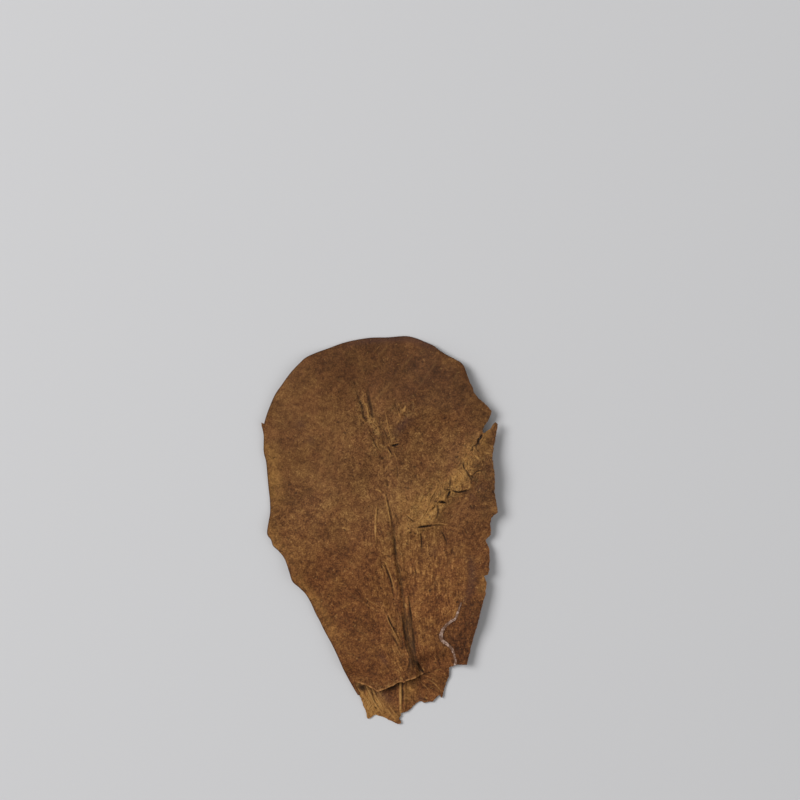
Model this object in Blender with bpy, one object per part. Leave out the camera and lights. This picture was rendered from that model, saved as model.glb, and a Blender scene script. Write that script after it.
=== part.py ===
"""A dried Indian almond leaf, lying face up as it came off the tree and was pressed.

The blade is a thin sheet with its true outline: a whole, smooth margin round the tip and down the
left side, a torn margin down the right side with a notch in it, and a crosswise tear near the foot.
The foot of the leaf has slipped under that tear and stays joined to the blade at both sides, so the
leaf is one solid. X runs across the leaf, Y from foot to tip, Z up, and the leaf lies on Z = 0.
"""

import math

import bmesh
import bpy
import numpy as np
from mathutils.geometry import delaunay_2d_cdt

MM = 0.001

# The sheet, in millimetres: its thickness, how high it lies, and the size of its triangles
BLADE_THICKNESS = 0.7
REST_HEIGHT = 1.45
FOOT_REST_HEIGHT = 0.3
MARGIN_STEP = 1.5
GRID_STEP = 2.3
RIB_STEP = 1.8

# How drying bent the blade: up beside the midrib, up at both sides, down at the tip's rim
MIDRIB_VALLEY = 0.5
RIGHT_SIDE_RISE = 1.9
LEFT_SIDE_RISE = 0.5
TIP_CURL = 1.3

# The midrib: its furrow on the face, its keel on the back
KEEL_DEPTH_LOW = 1.0
KEEL_DEPTH_TIP = 0.3
KEEL_HALF_WIDTH = 0.9
FURROW_DEPTH = 0.7
FURROW_HALF_WIDTH = 0.8
SHOULDER_HEIGHT = 0.4
SHOULDER_OFFSET = 1.8

# The side veins: where the lowest pair leaves the midrib, and how steeply and how bent they climb
LOWEST_VEIN = -37.0
VEIN_SPACING = 9.6
VEINS_A_SIDE = 9
VEIN_CLIMB = {-1: (0.46, 0.012), 1: (0.80, 0.009)}
VEIN_HALF_WIDTH = 0.6
VEIN_RELIEF_FACE = 0.12
VEIN_RELIEF_BACK = 0.35
VEIN_END_GAP = 3.0

# The foot's own piece of midrib: two ribs with a groove between, and a low keel that it rests on
FOOT_RIB_HEIGHT = 0.35
FOOT_RIB_OFFSET = 0.6
FOOT_RIB_HALF_WIDTH = 0.4
FOOT_KEEL_DEPTH = 0.4

# The whole margin, from the upper right over the tip and down to the left end of the tear
TIP_MARGIN = [
    (24.7, 44.7), (23.7, 47.0), (21.4, 48.7), (16.9, 51.3), (12.9, 53.6), (8.2, 55.2),
    (2.3, 54.9), (-2.4, 54.8), (-7.1, 54.1), (-14.2, 51.9), (-20.8, 49.2), (-25.3, 44.7),
    (-29.8, 38.3), (-32.4, 31.5), (-32.8, 30.3),
]  # fmt: skip
LEFT_POINT = [(-32.8, 30.3), (-33.6, 30.7), (-33.3, 29.1)]
LEFT_MARGIN = [
    (-33.3, 29.1), (-32.9, 24.5), (-32.2, 19.3), (-31.6, 12.2), (-31.1, 5.1), (-31.9, -0.4),
    (-30.3, -4.3), (-27.1, -7.7), (-25.5, -11.8), (-24.4, -14.6), (-20.9, -18.1),
    (-18.1, -23.6), (-13.3, -32.6), (-8.6, -42.7), (-6.1, -47.0),
]  # fmt: skip

# The crosswise tear, from the left strip to the lower right corner
LEFT_STRIP = [(-5.6, -46.2), (-6.8, -44.6), (-7.0, -43.3)]
TEAR_LIP = [
    (-6.0, -43.4), (-3.6, -43.9), (-2.1, -44.9), (-0.3, -45.7), (1.0, -45.2), (2.4, -44.3),
    (4.0, -43.8), (5.8, -42.9), (7.5, -42.5), (9.5, -41.8), (11.9, -41.2),
]  # fmt: skip
LOWER_EDGE = [(14.7, -40.0), (17.5, -39.3), (19.8, -39.0), (21.9, -38.2), (24.8, -38.0)]

# The torn right margin, upwards, with the notch between its two lips
RIGHT_MARGIN = [
    (25.5, -35.0), (27.8, -26.4), (29.0, -21.7), (30.0, -18.0), (30.4, -14.6), (29.7, -12.8),
    (30.9, -12.3), (31.3, -7.4), (31.2, -5.1), (30.2, -2.7), (31.6, -1.1), (31.4, 2.0),
    (31.8, 3.6), (32.7, 4.6), (33.6, 5.3), (33.1, 7.9), (32.6, 11.0), (32.7, 13.8),
    (32.2, 19.4), (32.0, 20.8), (32.4, 23.9), (33.3, 28.6), (33.3, 30.3), (32.6, 30.4),
]  # fmt: skip
NOTCH = [(31.1, 28.9), (29.9, 27.8), (28.6, 26.4), (27.1, 23.2), (28.1, 26.6), (29.2, 28.2)]
UPPER_LIP = [
    (30.2, 30.1), (31.7, 33.0), (31.7, 34.0), (29.4, 36.5), (28.0, 37.6), (26.8, 38.6),
    (26.4, 40.5), (25.6, 42.1),
]  # fmt: skip

# The foot of the leaf: its own torn end, its right margin and the edge that lies under the blade
FOOT_END = [
    (-5.4, -47.6), (-4.7, -49.7), (-3.7, -52.3), (-3.3, -53.8), (-2.5, -53.5), (-1.2, -52.6),
    (0.9, -53.2), (2.9, -54.2), (5.6, -55.2), (6.2, -54.8), (5.6, -53.8), (6.0, -52.0),
    (7.9, -51.6), (10.5, -49.2), (11.4, -48.6), (12.7, -49.2), (15.1, -48.8), (17.1, -46.8),
    (17.8, -47.7), (18.8, -44.0), (19.9, -39.6),
]  # fmt: skip
FOOT_HIDDEN_EDGE = [
    (20.2, -35.8), (18.6, -34.9), (17.2, -33.6), (15.1, -34.9), (13.1, -34.4), (10.4, -32.6),
    (8.4, -33.9), (5.9, -34.2), (2.6, -32.5), (0.4, -33.6), (-1.8, -33.5), (-4.6, -35.6),
    (-6.7, -36.3), (-8.2, -39.6), (-8.1, -42.4), (-7.2, -44.6), (-6.2, -46.3),
]  # fmt: skip

# The midrib's line down the blade, and the piece of it that shows on the foot
MIDRIB = [
    (-7.3, 53.4), (-6.4, 46.2), (-4.7, 39.3), (-2.7, 32.8), (0.2, 21.0), (1.3, 11.1),
    (3.7, 1.5), (4.8, -6.7), (6.4, -17.1), (8.1, -29.9), (9.5, -34.8), (11.6, -40.4),
]  # fmt: skip
FOOT_MIDRIB = [(6.1, -35.2), (6.5, -42.5), (6.6, -51.4)]

# Where blade and foot are still one sheet, and how high the blade lies over the foot between
JOINED_STRIP = [(-7.9, -42.8), (-6.2, -46.2)]
JOINED_FOLD = [(14.4, -39.4), (18.6, -38.6)]
JOIN_HEIGHT = 1.0
JOIN_OVERLAP = 0.15
OVER_FOOT_HEIGHT = 2.9
LIP_RISE = 0.55

# A crumpled ridge that runs in from the notch, and a fold beside the midrib
CRUMPLE = [(28.6, 25.4), (26.4, 20.0), (24.6, 14.0), (18.4, 9.2), (15.2, 3.0), (10.0, 0.4)]
CRUMPLE_HEIGHT = 0.9
CRUMPLE_HALF_WIDTH = 2.6
SIDE_FOLD = [(0.6, -20.6), (2.6, -24.6), (5.3, -31.6), (8.0, -36.6)]
SIDE_FOLD_HEIGHT = 0.45
SIDE_FOLD_HALF_WIDTH = 1.1

# Spots where the leaf touches what it lies on: x, y and radius
TOUCHING_SPOTS = [(-25.5, 12.0, 7.0), (15.5, 23.5, 6.0), (4.0, 51.0, 6.5)]
TOUCHING_HEIGHT = 0.27


def smooth_line(points, step):
    """Points about a step apart on the curve that runs smoothly through the given ones."""
    p = np.array(points, float)
    p = np.vstack([2 * p[0] - p[1], p, 2 * p[-1] - p[-2]])
    dense = []
    for a, b, c, d in zip(p, p[1:], p[2:], p[3:]):
        t = np.linspace(0, 1, 24, endpoint=False)[:, None]
        dense.append(
            b
            + 0.5 * t * (c - a)
            + t * t * (a - 2.5 * b + 2 * c - 0.5 * d)
            + t**3 * (1.5 * (b - c) + 0.5 * (d - a))
        )
    return even_steps(np.vstack(dense + [p[-2:-1]]), step)


def even_steps(line, step):
    """The same line with its points evenly spaced, its two ends kept."""
    run = np.r_[0, np.cumsum(np.hypot(*np.diff(line, axis=0).T))]
    at = np.linspace(0, run[-1], max(2, round(run[-1] / step) + 1))
    return np.column_stack([np.interp(at, run, line[:, k]) for k in (0, 1)])


def torn_line(points, step):
    """Straight stretches between the given corners, each cut into equal steps."""
    corners = np.array(points, float)
    pieces = [even_steps(corners[i : i + 2], step)[:-1] for i in range(len(corners) - 1)]
    return np.vstack(pieces + [corners[-1:]])


def closed_outline(stretches):
    """Stretches joined end to end round the sheet, without doubled points."""
    line = np.vstack(stretches)
    ahead = np.roll(line, -1, axis=0)
    return line[np.hypot(*(ahead - line).T) > 0.05]


def blade_outline():
    return closed_outline(
        [
            smooth_line(TIP_MARGIN, MARGIN_STEP),
            torn_line(LEFT_POINT, MARGIN_STEP),
            smooth_line(LEFT_MARGIN, MARGIN_STEP),
            torn_line(LEFT_STRIP + TEAR_LIP + LOWER_EDGE, MARGIN_STEP),
            torn_line(RIGHT_MARGIN + NOTCH + UPPER_LIP, MARGIN_STEP),
        ]
    )


def foot_outline():
    return closed_outline([torn_line(FOOT_END + FOOT_HIDDEN_EDGE, MARGIN_STEP)])


def distance_to(x, y, line, closed=False):
    """Each point's distance from a line of points, and how far along the line its nearest spot is, 0 to 1."""
    start = np.asarray(line, float)
    end = np.roll(start, -1, axis=0)
    if not closed:
        start, end = start[:-1], end[:-1]
    run = end - start
    length = np.maximum(np.hypot(*run.T), 1e-9)
    px, py = x[:, None] - start[:, 0], y[:, None] - start[:, 1]
    t = np.clip((px * run[:, 0] + py * run[:, 1]) / length**2, 0, 1)
    gap = np.hypot(px - t * run[:, 0], py - t * run[:, 1])
    nearest = gap.argmin(axis=1)
    rows = np.arange(len(x))
    before = np.r_[0, np.cumsum(length)[:-1]]
    along = (before[nearest] + t[rows, nearest] * length[nearest]) / length.sum()
    return gap[rows, nearest], along


def inside(x, y, outline):
    """Which points lie inside a closed outline."""
    ax, ay = outline.T
    bx, by = np.roll(outline, -1, axis=0).T
    crosses = (ay > y[:, None]) != (by > y[:, None])
    rise = np.where(by == ay, 1e-12, by - ay)
    right = x[:, None] < (bx - ax) * (y[:, None] - ay) / rise + ax
    return (crosses & right).sum(axis=1) % 2 == 1


def ramp(low, high, value):
    """0 below low, 1 above high, smooth between."""
    t = np.clip((value - low) / (high - low), 0, 1)
    return t * t * (3 - 2 * t)


def bump(distance, width):
    return np.exp(-((distance / width) ** 2))


def midrib_x(y):
    """The midrib's place across the leaf at each height up it."""
    line = smooth_line(MIDRIB, 1.0)[::-1]
    return np.interp(y, line[:, 1], line[:, 0])


def side_veins(outline):
    """Veins that leave the midrib at both sides, bend towards the tip and stop short of the margin."""
    veins = []
    for side, (slope, bend) in VEIN_CLIMB.items():
        for count in range(VEINS_A_SIDE):
            start = LOWEST_VEIN + VEIN_SPACING * (count + (0.45 if side > 0 else 0))
            out = np.arange(0.0, 34.0)
            y = start + slope * out + bend * out**2
            x = midrib_x(y) + side * out
            gap, _ = distance_to(x, y, outline, closed=True)
            stops = np.flatnonzero((gap < VEIN_END_GAP) | ~inside(x, y, outline))
            veins.append(np.column_stack([x, y])[: stops[0]])
    return [vein for vein in veins if len(vein) > 6]


def waves(x, y):
    """Broad, shallow waves that drying left in the sheet."""
    return (
        0.40 * np.sin(0.14 * x + 0.10 * y + 0.4)
        + 0.26 * np.sin(-0.12 * x + 0.21 * y + 1.9)
        + 0.16 * np.sin(0.31 * x - 0.17 * y + 0.7)
    )


def margin_ripple(x, y, edge):
    """A ripple that runs round the leaf and fades inwards from its edge."""
    turn = np.arctan2(y - 5.0, x)
    ripple = 0.40 * np.sin(7 * turn + 0.6) + 0.25 * np.sin(15 * turn + 2.0)
    return ripple * np.exp(-edge / 5.0)


def blade_height(x, y, outline):
    """Height of the middle of the blade above what the leaf lies on."""
    across = x - midrib_x(y)
    edge, _ = distance_to(x, y, outline, closed=True)
    height = REST_HEIGHT + MIDRIB_VALLEY * (1 - bump(across, 6.0)) + waves(x, y)
    height += RIGHT_SIDE_RISE * ramp(8.0, 32.0, across) * (0.55 + 0.45 * bump(y - 8.0, 34.0))
    height += LEFT_SIDE_RISE * ramp(8.0, 30.0, -across) * ramp(-20.0, 30.0, y)
    height += margin_ripple(x, y, edge)
    height -= TIP_CURL * np.exp(-edge / 2.4) * ramp(38.0, 52.0, y)
    crumple, _ = distance_to(x, y, smooth_line(CRUMPLE, 1.0))
    height += CRUMPLE_HEIGHT * bump(crumple, CRUMPLE_HALF_WIDTH)
    fold, _ = distance_to(x, y, smooth_line(SIDE_FOLD, 1.0))
    height += SIDE_FOLD_HEIGHT * bump(fold, SIDE_FOLD_HALF_WIDTH)
    return settle(x, y, over_the_foot(x, y, height))


def joined_strip(x, y):
    """1 on the strip of left margin that still joins blade and foot, and 0 away from it."""
    return 1 - ramp(1.2, 6.0, distance_to(x, y, JOINED_STRIP)[0])


def joined_fold(x, y):
    """1 where blade and foot are still one sheet at the right of the tear, and 0 away from it."""
    return 1 - ramp(1.6, 6.5, distance_to(x, y, JOINED_FOLD)[0])


def over_the_foot(x, y, height):
    """The blade climbs over the foot, its torn lip gapes, and both ends of the tear come down to it."""
    climb = 1 - ramp(-37.0, -27.0, y)
    height = height * (1 - climb) + climb * OVER_FOOT_HEIGHT
    lip, along = distance_to(x, y, TEAR_LIP)
    height += LIP_RISE * bump(lip, 2.6) * np.sin(math.pi * along)
    for joined in (joined_strip(x, y), joined_fold(x, y)):
        height = height * (1 - joined) + joined * (JOIN_HEIGHT + JOIN_OVERLAP)
    return height


def settle(x, y, height):
    """Presses the touching spots down to the surface."""
    for spot_x, spot_y, radius in TOUCHING_SPOTS:
        press = 1 - ramp(0.45 * radius, 2.1 * radius, np.hypot(x - spot_x, y - spot_y))
        height = height * (1 - press) + press * TOUCHING_HEIGHT
    return height


def foot_height(x, y):
    """Height of the middle of the foot: low, highest at its midrib, lifted to the blade at both sides."""
    from_rib = np.abs(x - np.interp(y, *np.array(FOOT_MIDRIB)[::-1, ::-1].T))
    height = FOOT_REST_HEIGHT + FOOT_KEEL_DEPTH * bump(from_rib, 3.2)
    height += 0.6 * ramp(42.0, 50.0, -y) * ramp(10.0, 17.0, x)
    height += 0.1 * np.sin(0.7 * x + 0.4 * y) * ramp(40.0, 48.0, -y) * (1 - bump(from_rib, 2.0))
    for joined in (joined_strip(x, y), joined_fold(x, y)):
        height = height * (1 - joined) + joined * (JOIN_HEIGHT - JOIN_OVERLAP)
    return height


def blade_faces(x, y, outline):
    """Heights of the blade's face and back."""
    middle = blade_height(x, y, outline)
    midrib = smooth_line(MIDRIB, 1.0)
    gap, along = distance_to(x, y, midrib)
    lower = 0.35 + 0.65 * ramp(0.35, 0.75, along)
    face = middle + BLADE_THICKNESS / 2
    face -= FURROW_DEPTH * lower * bump(gap, FURROW_HALF_WIDTH)
    face += SHOULDER_HEIGHT * lower * bump(gap - SHOULDER_OFFSET, 0.9)
    keel = KEEL_DEPTH_TIP + (KEEL_DEPTH_LOW - KEEL_DEPTH_TIP) * along
    back = middle - BLADE_THICKNESS / 2 - keel * bump(gap, KEEL_HALF_WIDTH)
    for vein in side_veins(outline):
        gap, along = distance_to(x, y, vein)
        relief = bump(gap, VEIN_HALF_WIDTH) * (1 - 0.7 * along)
        face += VEIN_RELIEF_FACE * relief
        back -= VEIN_RELIEF_BACK * relief
    return face, back


def foot_faces(x, y, outline):
    """Heights of the foot's face and back. The ribs fade out at the foot's torn edges."""
    middle = foot_height(x, y)
    gap, _ = distance_to(x, y, smooth_line(FOOT_MIDRIB, 1.0))
    edge, _ = distance_to(x, y, outline, closed=True)
    fade = ramp(0.0, 1.6, edge)
    face = middle + BLADE_THICKNESS / 2
    face += FOOT_RIB_HEIGHT * fade * bump(gap - FOOT_RIB_OFFSET, FOOT_RIB_HALF_WIDTH)
    back = middle - BLADE_THICKNESS / 2 - FOOT_KEEL_DEPTH * bump(gap, KEEL_HALF_WIDTH)
    return face, back


def beside(line, offset):
    """A line of points set off sideways."""
    run = np.gradient(line, axis=0)
    run /= np.hypot(*run.T)[:, None]
    return line + offset * np.column_stack([-run[:, 1], run[:, 0]])


def rib_rows(line, offsets, outline):
    """Rows of points along a rib and its flanks, kept inside the sheet."""
    rows = []
    for offset in offsets:
        row = beside(line, offset)
        gap, _ = distance_to(row[:, 0], row[:, 1], outline, closed=True)
        row = row[(gap > 0.9) & inside(row[:, 0], row[:, 1], outline)]
        if len(row) > 1:
            rows.append(row)
    return rows


def triangulate(outline, rows):
    """A flat sheet of triangles: the outline, the ribs' rows and an even grid between them."""
    low, high = outline.min(axis=0), outline.max(axis=0)
    across, up = GRID_STEP, GRID_STEP * math.sqrt(3) / 2
    grid = []
    for row, y in enumerate(np.arange(low[1], high[1], up)):
        shift = across / 2 * (row % 2)
        grid += [(x + shift, y) for x in np.arange(low[0], high[0], across)]
    grid = np.array(grid)
    gap, _ = distance_to(*grid.T, outline, closed=True)
    keep = inside(*grid.T, outline) & (gap > 0.5 * GRID_STEP)
    for row in rows:
        keep &= distance_to(*grid.T, row)[0] > 0.5 * GRID_STEP
    points = [*outline, *grid[keep]]
    edges = [(i, (i + 1) % len(outline)) for i in range(len(outline))]
    placed = np.empty((0, 2))
    for row in rows:
        if len(placed):
            row = row[np.array([np.hypot(*(placed - p).T).min() > 0.45 for p in row])]
        placed = np.vstack([placed, row])
        points += list(row)
    made = delaunay_2d_cdt([tuple(p) for p in points], edges, [], 0, 1e-6)
    flat = np.array([tuple(v) for v in made[0]])
    triangles = np.array(made[2])
    middle = flat[triangles].mean(axis=1)
    return flat, triangles[inside(*middle.T, outline)]


def sheet(name, outline, rows, faces_of):
    """A closed sheet: the same triangles on its face and its back, and walls round its rim."""
    flat, triangles = triangulate(outline, rows)
    bm = bmesh.new()
    corners = [bm.verts.new((x * MM, y * MM, 0)) for x, y in flat]
    for triangle in triangles:
        bm.faces.new([corners[i] for i in triangle])
    loose = [v for v in bm.verts if not v.link_faces]
    bmesh.ops.delete(bm, geom=loose, context="VERTS")
    bmesh.ops.recalc_face_normals(bm, faces=bm.faces)
    if sum(f.normal.z for f in bm.faces) < 0:
        bmesh.ops.reverse_faces(bm, faces=bm.faces)
    bmesh.ops.solidify(bm, geom=bm.faces[:], thickness=BLADE_THICKNESS * MM)
    bmesh.ops.recalc_face_normals(bm, faces=bm.faces)
    on_face = np.array([v.co.z for v in bm.verts])
    on_face = on_face > on_face.mean()
    place = np.array([v.co[:2] for v in bm.verts]) / MM
    face, back = faces_of(*place.T, outline)
    height = np.where(on_face, face, np.maximum(back, 0))
    for vertex, z in zip(bm.verts, height):
        vertex.co.z = z * MM
    mesh = bpy.data.meshes.new(name)
    bm.to_mesh(mesh)
    bm.free()
    obj = bpy.data.objects.new(name, mesh)
    mesh.shade_smooth()
    mesh.set_sharp_from_angle(angle=math.radians(50))
    return obj


def dry_leaf_material():
    material = bpy.data.materials.new("dry_leaf")
    material.use_nodes = True
    shader = material.node_tree.nodes["Principled BSDF"]
    shader.inputs["Base Color"].default_value = (0.162, 0.075, 0.028, 1)
    shader.inputs["Roughness"].default_value = 0.62
    shader.inputs["Metallic"].default_value = 0
    return material


def blade_rows(outline):
    """Rows of points along everything on the blade that is narrower than the grid."""
    midrib = smooth_line(MIDRIB, RIB_STEP)
    rows = rib_rows(midrib, (0, -0.9, 0.9, -SHOULDER_OFFSET, SHOULDER_OFFSET, -2.9, 2.9), outline)
    rows += rib_rows(smooth_line(SIDE_FOLD, RIB_STEP), (0, -1.1, 1.1), outline)
    for vein in side_veins(outline):
        line = even_steps(vein[3:], RIB_STEP)
        rows += rib_rows(line, (0, -0.7, 0.7), outline)
    return rows


def foot_rows(outline):
    midrib = smooth_line(FOOT_MIDRIB, RIB_STEP)
    return rib_rows(midrib, (0, -FOOT_RIB_OFFSET, FOOT_RIB_OFFSET, -1.6, 1.6), outline)


def build():
    for obj in list(bpy.data.objects):
        bpy.data.objects.remove(obj)
    parts = bpy.data.collections.new("indian_almond_leaf")
    helpers = bpy.data.collections.new("joined_pieces")
    bpy.context.scene.collection.children.link(parts)
    bpy.context.scene.collection.children.link(helpers)

    outline = blade_outline()
    leaf = sheet("leaf", outline, blade_rows(outline), blade_faces)
    parts.objects.link(leaf)
    leaf.data.materials.append(dry_leaf_material())

    outline = foot_outline()
    foot = sheet("foot_under_the_blade", outline, foot_rows(outline), foot_faces)
    foot.hide_render = True
    foot.display_type = "WIRE"
    helpers.objects.link(foot)

    join = leaf.modifiers.new("join_the_foot", "BOOLEAN")
    join.operation = "UNION"
    join.object = foot
    join.solver = "EXACT"


build()
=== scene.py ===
"""The dried Indian almond leaf as it looks: a thin, waved, papery sheet with cracks, creases and veins.

The outline, midrib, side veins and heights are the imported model's, with the torn edges drawn finer.
Lengths are in millimetres until a mesh is made. The blade, and the foot of the leaf that has slipped
under it, are two sheets of one leaf.
"""

import itertools
import math
from types import SimpleNamespace

import bpy
import numpy as np
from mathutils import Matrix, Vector
from mathutils.geometry import delaunay_2d_cdt
from mathutils.kdtree import KDTree


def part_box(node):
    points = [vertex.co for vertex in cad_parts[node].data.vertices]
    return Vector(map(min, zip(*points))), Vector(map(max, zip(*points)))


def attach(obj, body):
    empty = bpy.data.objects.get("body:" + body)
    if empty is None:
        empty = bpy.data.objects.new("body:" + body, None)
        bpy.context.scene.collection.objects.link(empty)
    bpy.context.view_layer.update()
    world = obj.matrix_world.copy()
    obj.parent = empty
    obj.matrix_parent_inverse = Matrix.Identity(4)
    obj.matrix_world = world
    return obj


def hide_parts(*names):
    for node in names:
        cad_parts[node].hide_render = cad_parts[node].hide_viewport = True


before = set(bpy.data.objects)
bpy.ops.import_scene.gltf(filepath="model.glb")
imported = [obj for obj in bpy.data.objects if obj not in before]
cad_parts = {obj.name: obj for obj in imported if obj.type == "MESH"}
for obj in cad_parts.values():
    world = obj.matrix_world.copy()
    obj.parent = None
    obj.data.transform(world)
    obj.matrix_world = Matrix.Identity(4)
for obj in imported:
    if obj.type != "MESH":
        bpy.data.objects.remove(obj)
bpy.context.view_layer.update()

MM = 0.001
LOWEST, HIGHEST = (np.array(corner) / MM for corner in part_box("leaf"))

# The papery sheet inside the solid: how thick each is, how high they lie, the size of the triangles,
# and how the triangles follow a narrow mark
SHEET_THICKNESS = 0.42
SOLID_THICKNESS = 0.7
FACE_STEP = 0.3
BACK_STEP = 0.6
NARROW_MARK = 0.5
MARK_ROW_GAP = 0.2
REST_HEIGHT = 1.45
FOOT_REST_HEIGHT = 0.3

# How drying bent the blade, and the spots where it touches what it lies on: x, y and radius
MIDRIB_VALLEY = 0.5
RIGHT_SIDE_RISE = 1.9
LEFT_SIDE_RISE = 0.5
TIP_CURL = 1.3
TOUCHING_SPOTS = [(-25.5, 12.0, 7.0), (15.5, 23.5, 6.0), (4.0, 51.0, 6.5)]
TOUCHING_HEIGHT = 0.27

# The whole margin, from the upper right over the tip and down to the left end of the tear
TIP_MARGIN = [
    (24.7, 44.7), (24.0, 46.6), (23.1, 47.7), (21.4, 48.7), (19.0, 49.9), (16.9, 51.3),
    (15.2, 52.6), (12.9, 53.6), (10.5, 54.6), (8.2, 55.2), (5.8, 55.2), (2.3, 54.9),
    (-2.4, 54.8), (-7.1, 54.1), (-10.7, 53.2), (-14.2, 51.9), (-17.8, 50.6), (-20.8, 49.2),
    (-22.7, 47.5), (-25.3, 44.7), (-27.7, 41.4), (-29.8, 38.3), (-31.7, 33.8), (-32.8, 30.3),
]  # fmt: skip
LEFT_POINT = [(-32.8, 30.3), (-33.6, 30.7), (-33.3, 29.1)]
LEFT_MARGIN = [
    (-33.3, 29.1), (-32.9, 26.8), (-32.9, 22.5), (-32.2, 19.3), (-31.9, 15.7), (-31.6, 12.2),
    (-31.2, 8.6), (-31.1, 5.1), (-31.6, 2.0), (-31.9, -0.4), (-31.7, -1.5), (-30.8, -2.7),
    (-30.2, -4.4), (-28.6, -5.9), (-27.1, -7.7), (-26.2, -9.7), (-25.5, -11.8), (-24.6, -14.4),
    (-22.7, -16.2), (-20.9, -18.1), (-19.4, -20.7), (-18.1, -23.6), (-17.0, -25.6),
    (-15.6, -28.5), (-13.3, -32.6), (-11.4, -36.6), (-10.0, -39.9), (-8.6, -42.7), (-6.1, -47.0),
]  # fmt: skip

# The crosswise tear, from the left strip to the lower right corner
LEFT_STRIP = [(-5.6, -46.5), (-6.8, -44.6), (-7.0, -43.3)]
TEAR_LIP = [
    (-6.0, -43.4), (-4.8, -43.7), (-3.6, -43.9), (-2.3, -44.8), (-0.5, -45.7), (1.0, -45.2),
    (2.5, -44.5), (3.8, -44.1), (5.0, -43.1), (6.0, -42.8), (6.9, -43.1), (7.8, -42.6),
    (9.3, -42.2), (11.1, -41.5), (12.2, -40.9),
]  # fmt: skip
LOWER_EDGE = [(12.7, -40.6), (14.7, -40.0), (17.5, -39.3), (19.8, -39.0), (21.9, -38.2), (24.8, -38.0)]

# The torn right margin, upwards, with the notch between its two lips
RIGHT_MARGIN = [
    (25.5, -35.0), (26.4, -31.2), (27.8, -26.4), (29.0, -21.7), (30.0, -18.0), (30.4, -14.6),
    (29.7, -12.8), (30.9, -12.3), (31.1, -10.7), (31.3, -7.4), (31.2, -5.1), (30.6, -3.9),
    (30.2, -2.7), (31.6, -1.1), (31.7, 0.3), (31.4, 2.0), (31.8, 3.6), (32.7, 4.6), (33.6, 5.3),
    (33.1, 7.9), (32.6, 11.0), (32.7, 13.8), (32.5, 16.6), (32.2, 19.4), (32.0, 20.8),
    (32.4, 23.9), (32.9, 25.8), (33.3, 28.4), (33.5, 30.2), (32.9, 30.7), (32.3, 30.2),
]  # fmt: skip
NOTCH = [(31.8, 29.3), (31.2, 28.8), (30.6, 28.3), (29.9, 27.7), (29.3, 27.8), (29.3, 28.5)]
UPPER_LIP = [
    (29.8, 29.7), (30.7, 31.0), (31.2, 32.0), (31.6, 33.0), (31.7, 34.0), (30.6, 35.3),
    (29.4, 36.5), (28.0, 37.6), (27.4, 38.4), (26.8, 38.9), (26.4, 40.5), (25.6, 42.1),
]  # fmt: skip

# The foot of the leaf: its own torn end, its right margin and the edge that lies under the blade
FOOT_END = [
    (-5.4, -47.6), (-5.2, -48.1), (-4.7, -49.7), (-4.1, -51.0), (-3.7, -52.3), (-3.6, -53.2),
    (-3.3, -53.8), (-2.5, -53.5), (-1.7, -52.8), (-1.2, -52.6), (0.9, -53.2), (2.9, -54.2),
    (4.4, -54.9), (5.6, -55.2), (6.2, -54.8), (6.0, -54.1), (5.6, -53.8), (6.1, -52.7),
    (6.0, -52.0), (7.3, -51.8), (7.9, -51.6), (9.2, -50.6), (10.5, -49.2), (11.4, -48.6),
    (12.1, -48.8), (12.7, -49.2), (13.8, -48.9), (15.1, -48.8), (16.0, -47.9), (17.1, -46.8),
    (17.4, -47.5), (17.8, -47.7), (18.1, -46.4), (18.8, -44.0), (19.7, -41.6), (19.9, -39.6),
]  # fmt: skip
FOOT_HIDDEN_EDGE = [
    (20.2, -35.8), (18.6, -34.9), (17.2, -33.6), (15.1, -34.9), (13.1, -34.4), (10.4, -32.6),
    (8.4, -33.9), (5.9, -34.2), (2.6, -32.5), (0.4, -33.6), (-1.8, -33.5), (-4.6, -35.6),
    (-6.7, -36.3), (-8.2, -39.6), (-8.1, -42.4), (-7.2, -44.6), (-6.2, -46.3),
]  # fmt: skip

# The midrib and the side veins
MIDRIB = [
    (-7.3, 53.4), (-6.4, 46.2), (-4.7, 39.3), (-2.7, 32.8), (0.2, 21.0), (1.3, 11.1),
    (3.7, 1.5), (4.8, -6.7), (6.4, -17.1), (8.1, -29.9), (9.5, -34.8), (11.6, -40.4),
]  # fmt: skip
FOOT_MIDRIB = [(6.1, -35.2), (6.5, -42.5), (6.6, -51.4)]
LOWEST_VEIN = -37.0
VEIN_SPACING = 9.6
VEIN_GAP = 0.75 * VEIN_SPACING
VEIN_CLIMB = {-1: (0.46, 0.012), 1: (0.80, 0.009)}

# Where blade and foot are still one sheet, and how high the blade lies over the foot between
JOINED_STRIP = [(-7.9, -42.8), (-6.2, -46.2)]
JOINED_FOLD = [(14.4, -39.4), (18.6, -38.6)]
JOIN_HEIGHT = 1.0
JOIN_OVERLAP = 0.15
OVER_FOOT_HEIGHT = 2.9
LIP_RISE = 0.55

# How far the thin sheet's lip lies below the solid's, and how much further at its lowest point
LIP_SAG = 0.75
LIP_DIP = 0.85
LIP_SAG_WIDTH = 3.4

# The crumpled ridge that runs in from the notch, and the fold beside the midrib
CRUMPLE = [(28.6, 25.4), (26.4, 20.0), (24.6, 14.0), (18.4, 9.2), (15.2, 3.0), (10.0, 0.4)]
CRUMPLE_HEIGHT = 0.9
CRUMPLE_HALF_WIDTH = 2.6
SIDE_FOLD = [(0.6, -20.6), (2.6, -24.6), (5.3, -31.6), (8.0, -36.6)]
SIDE_FOLD_HEIGHT = 0.45
SIDE_FOLD_HALF_WIDTH = 1.1

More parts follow.
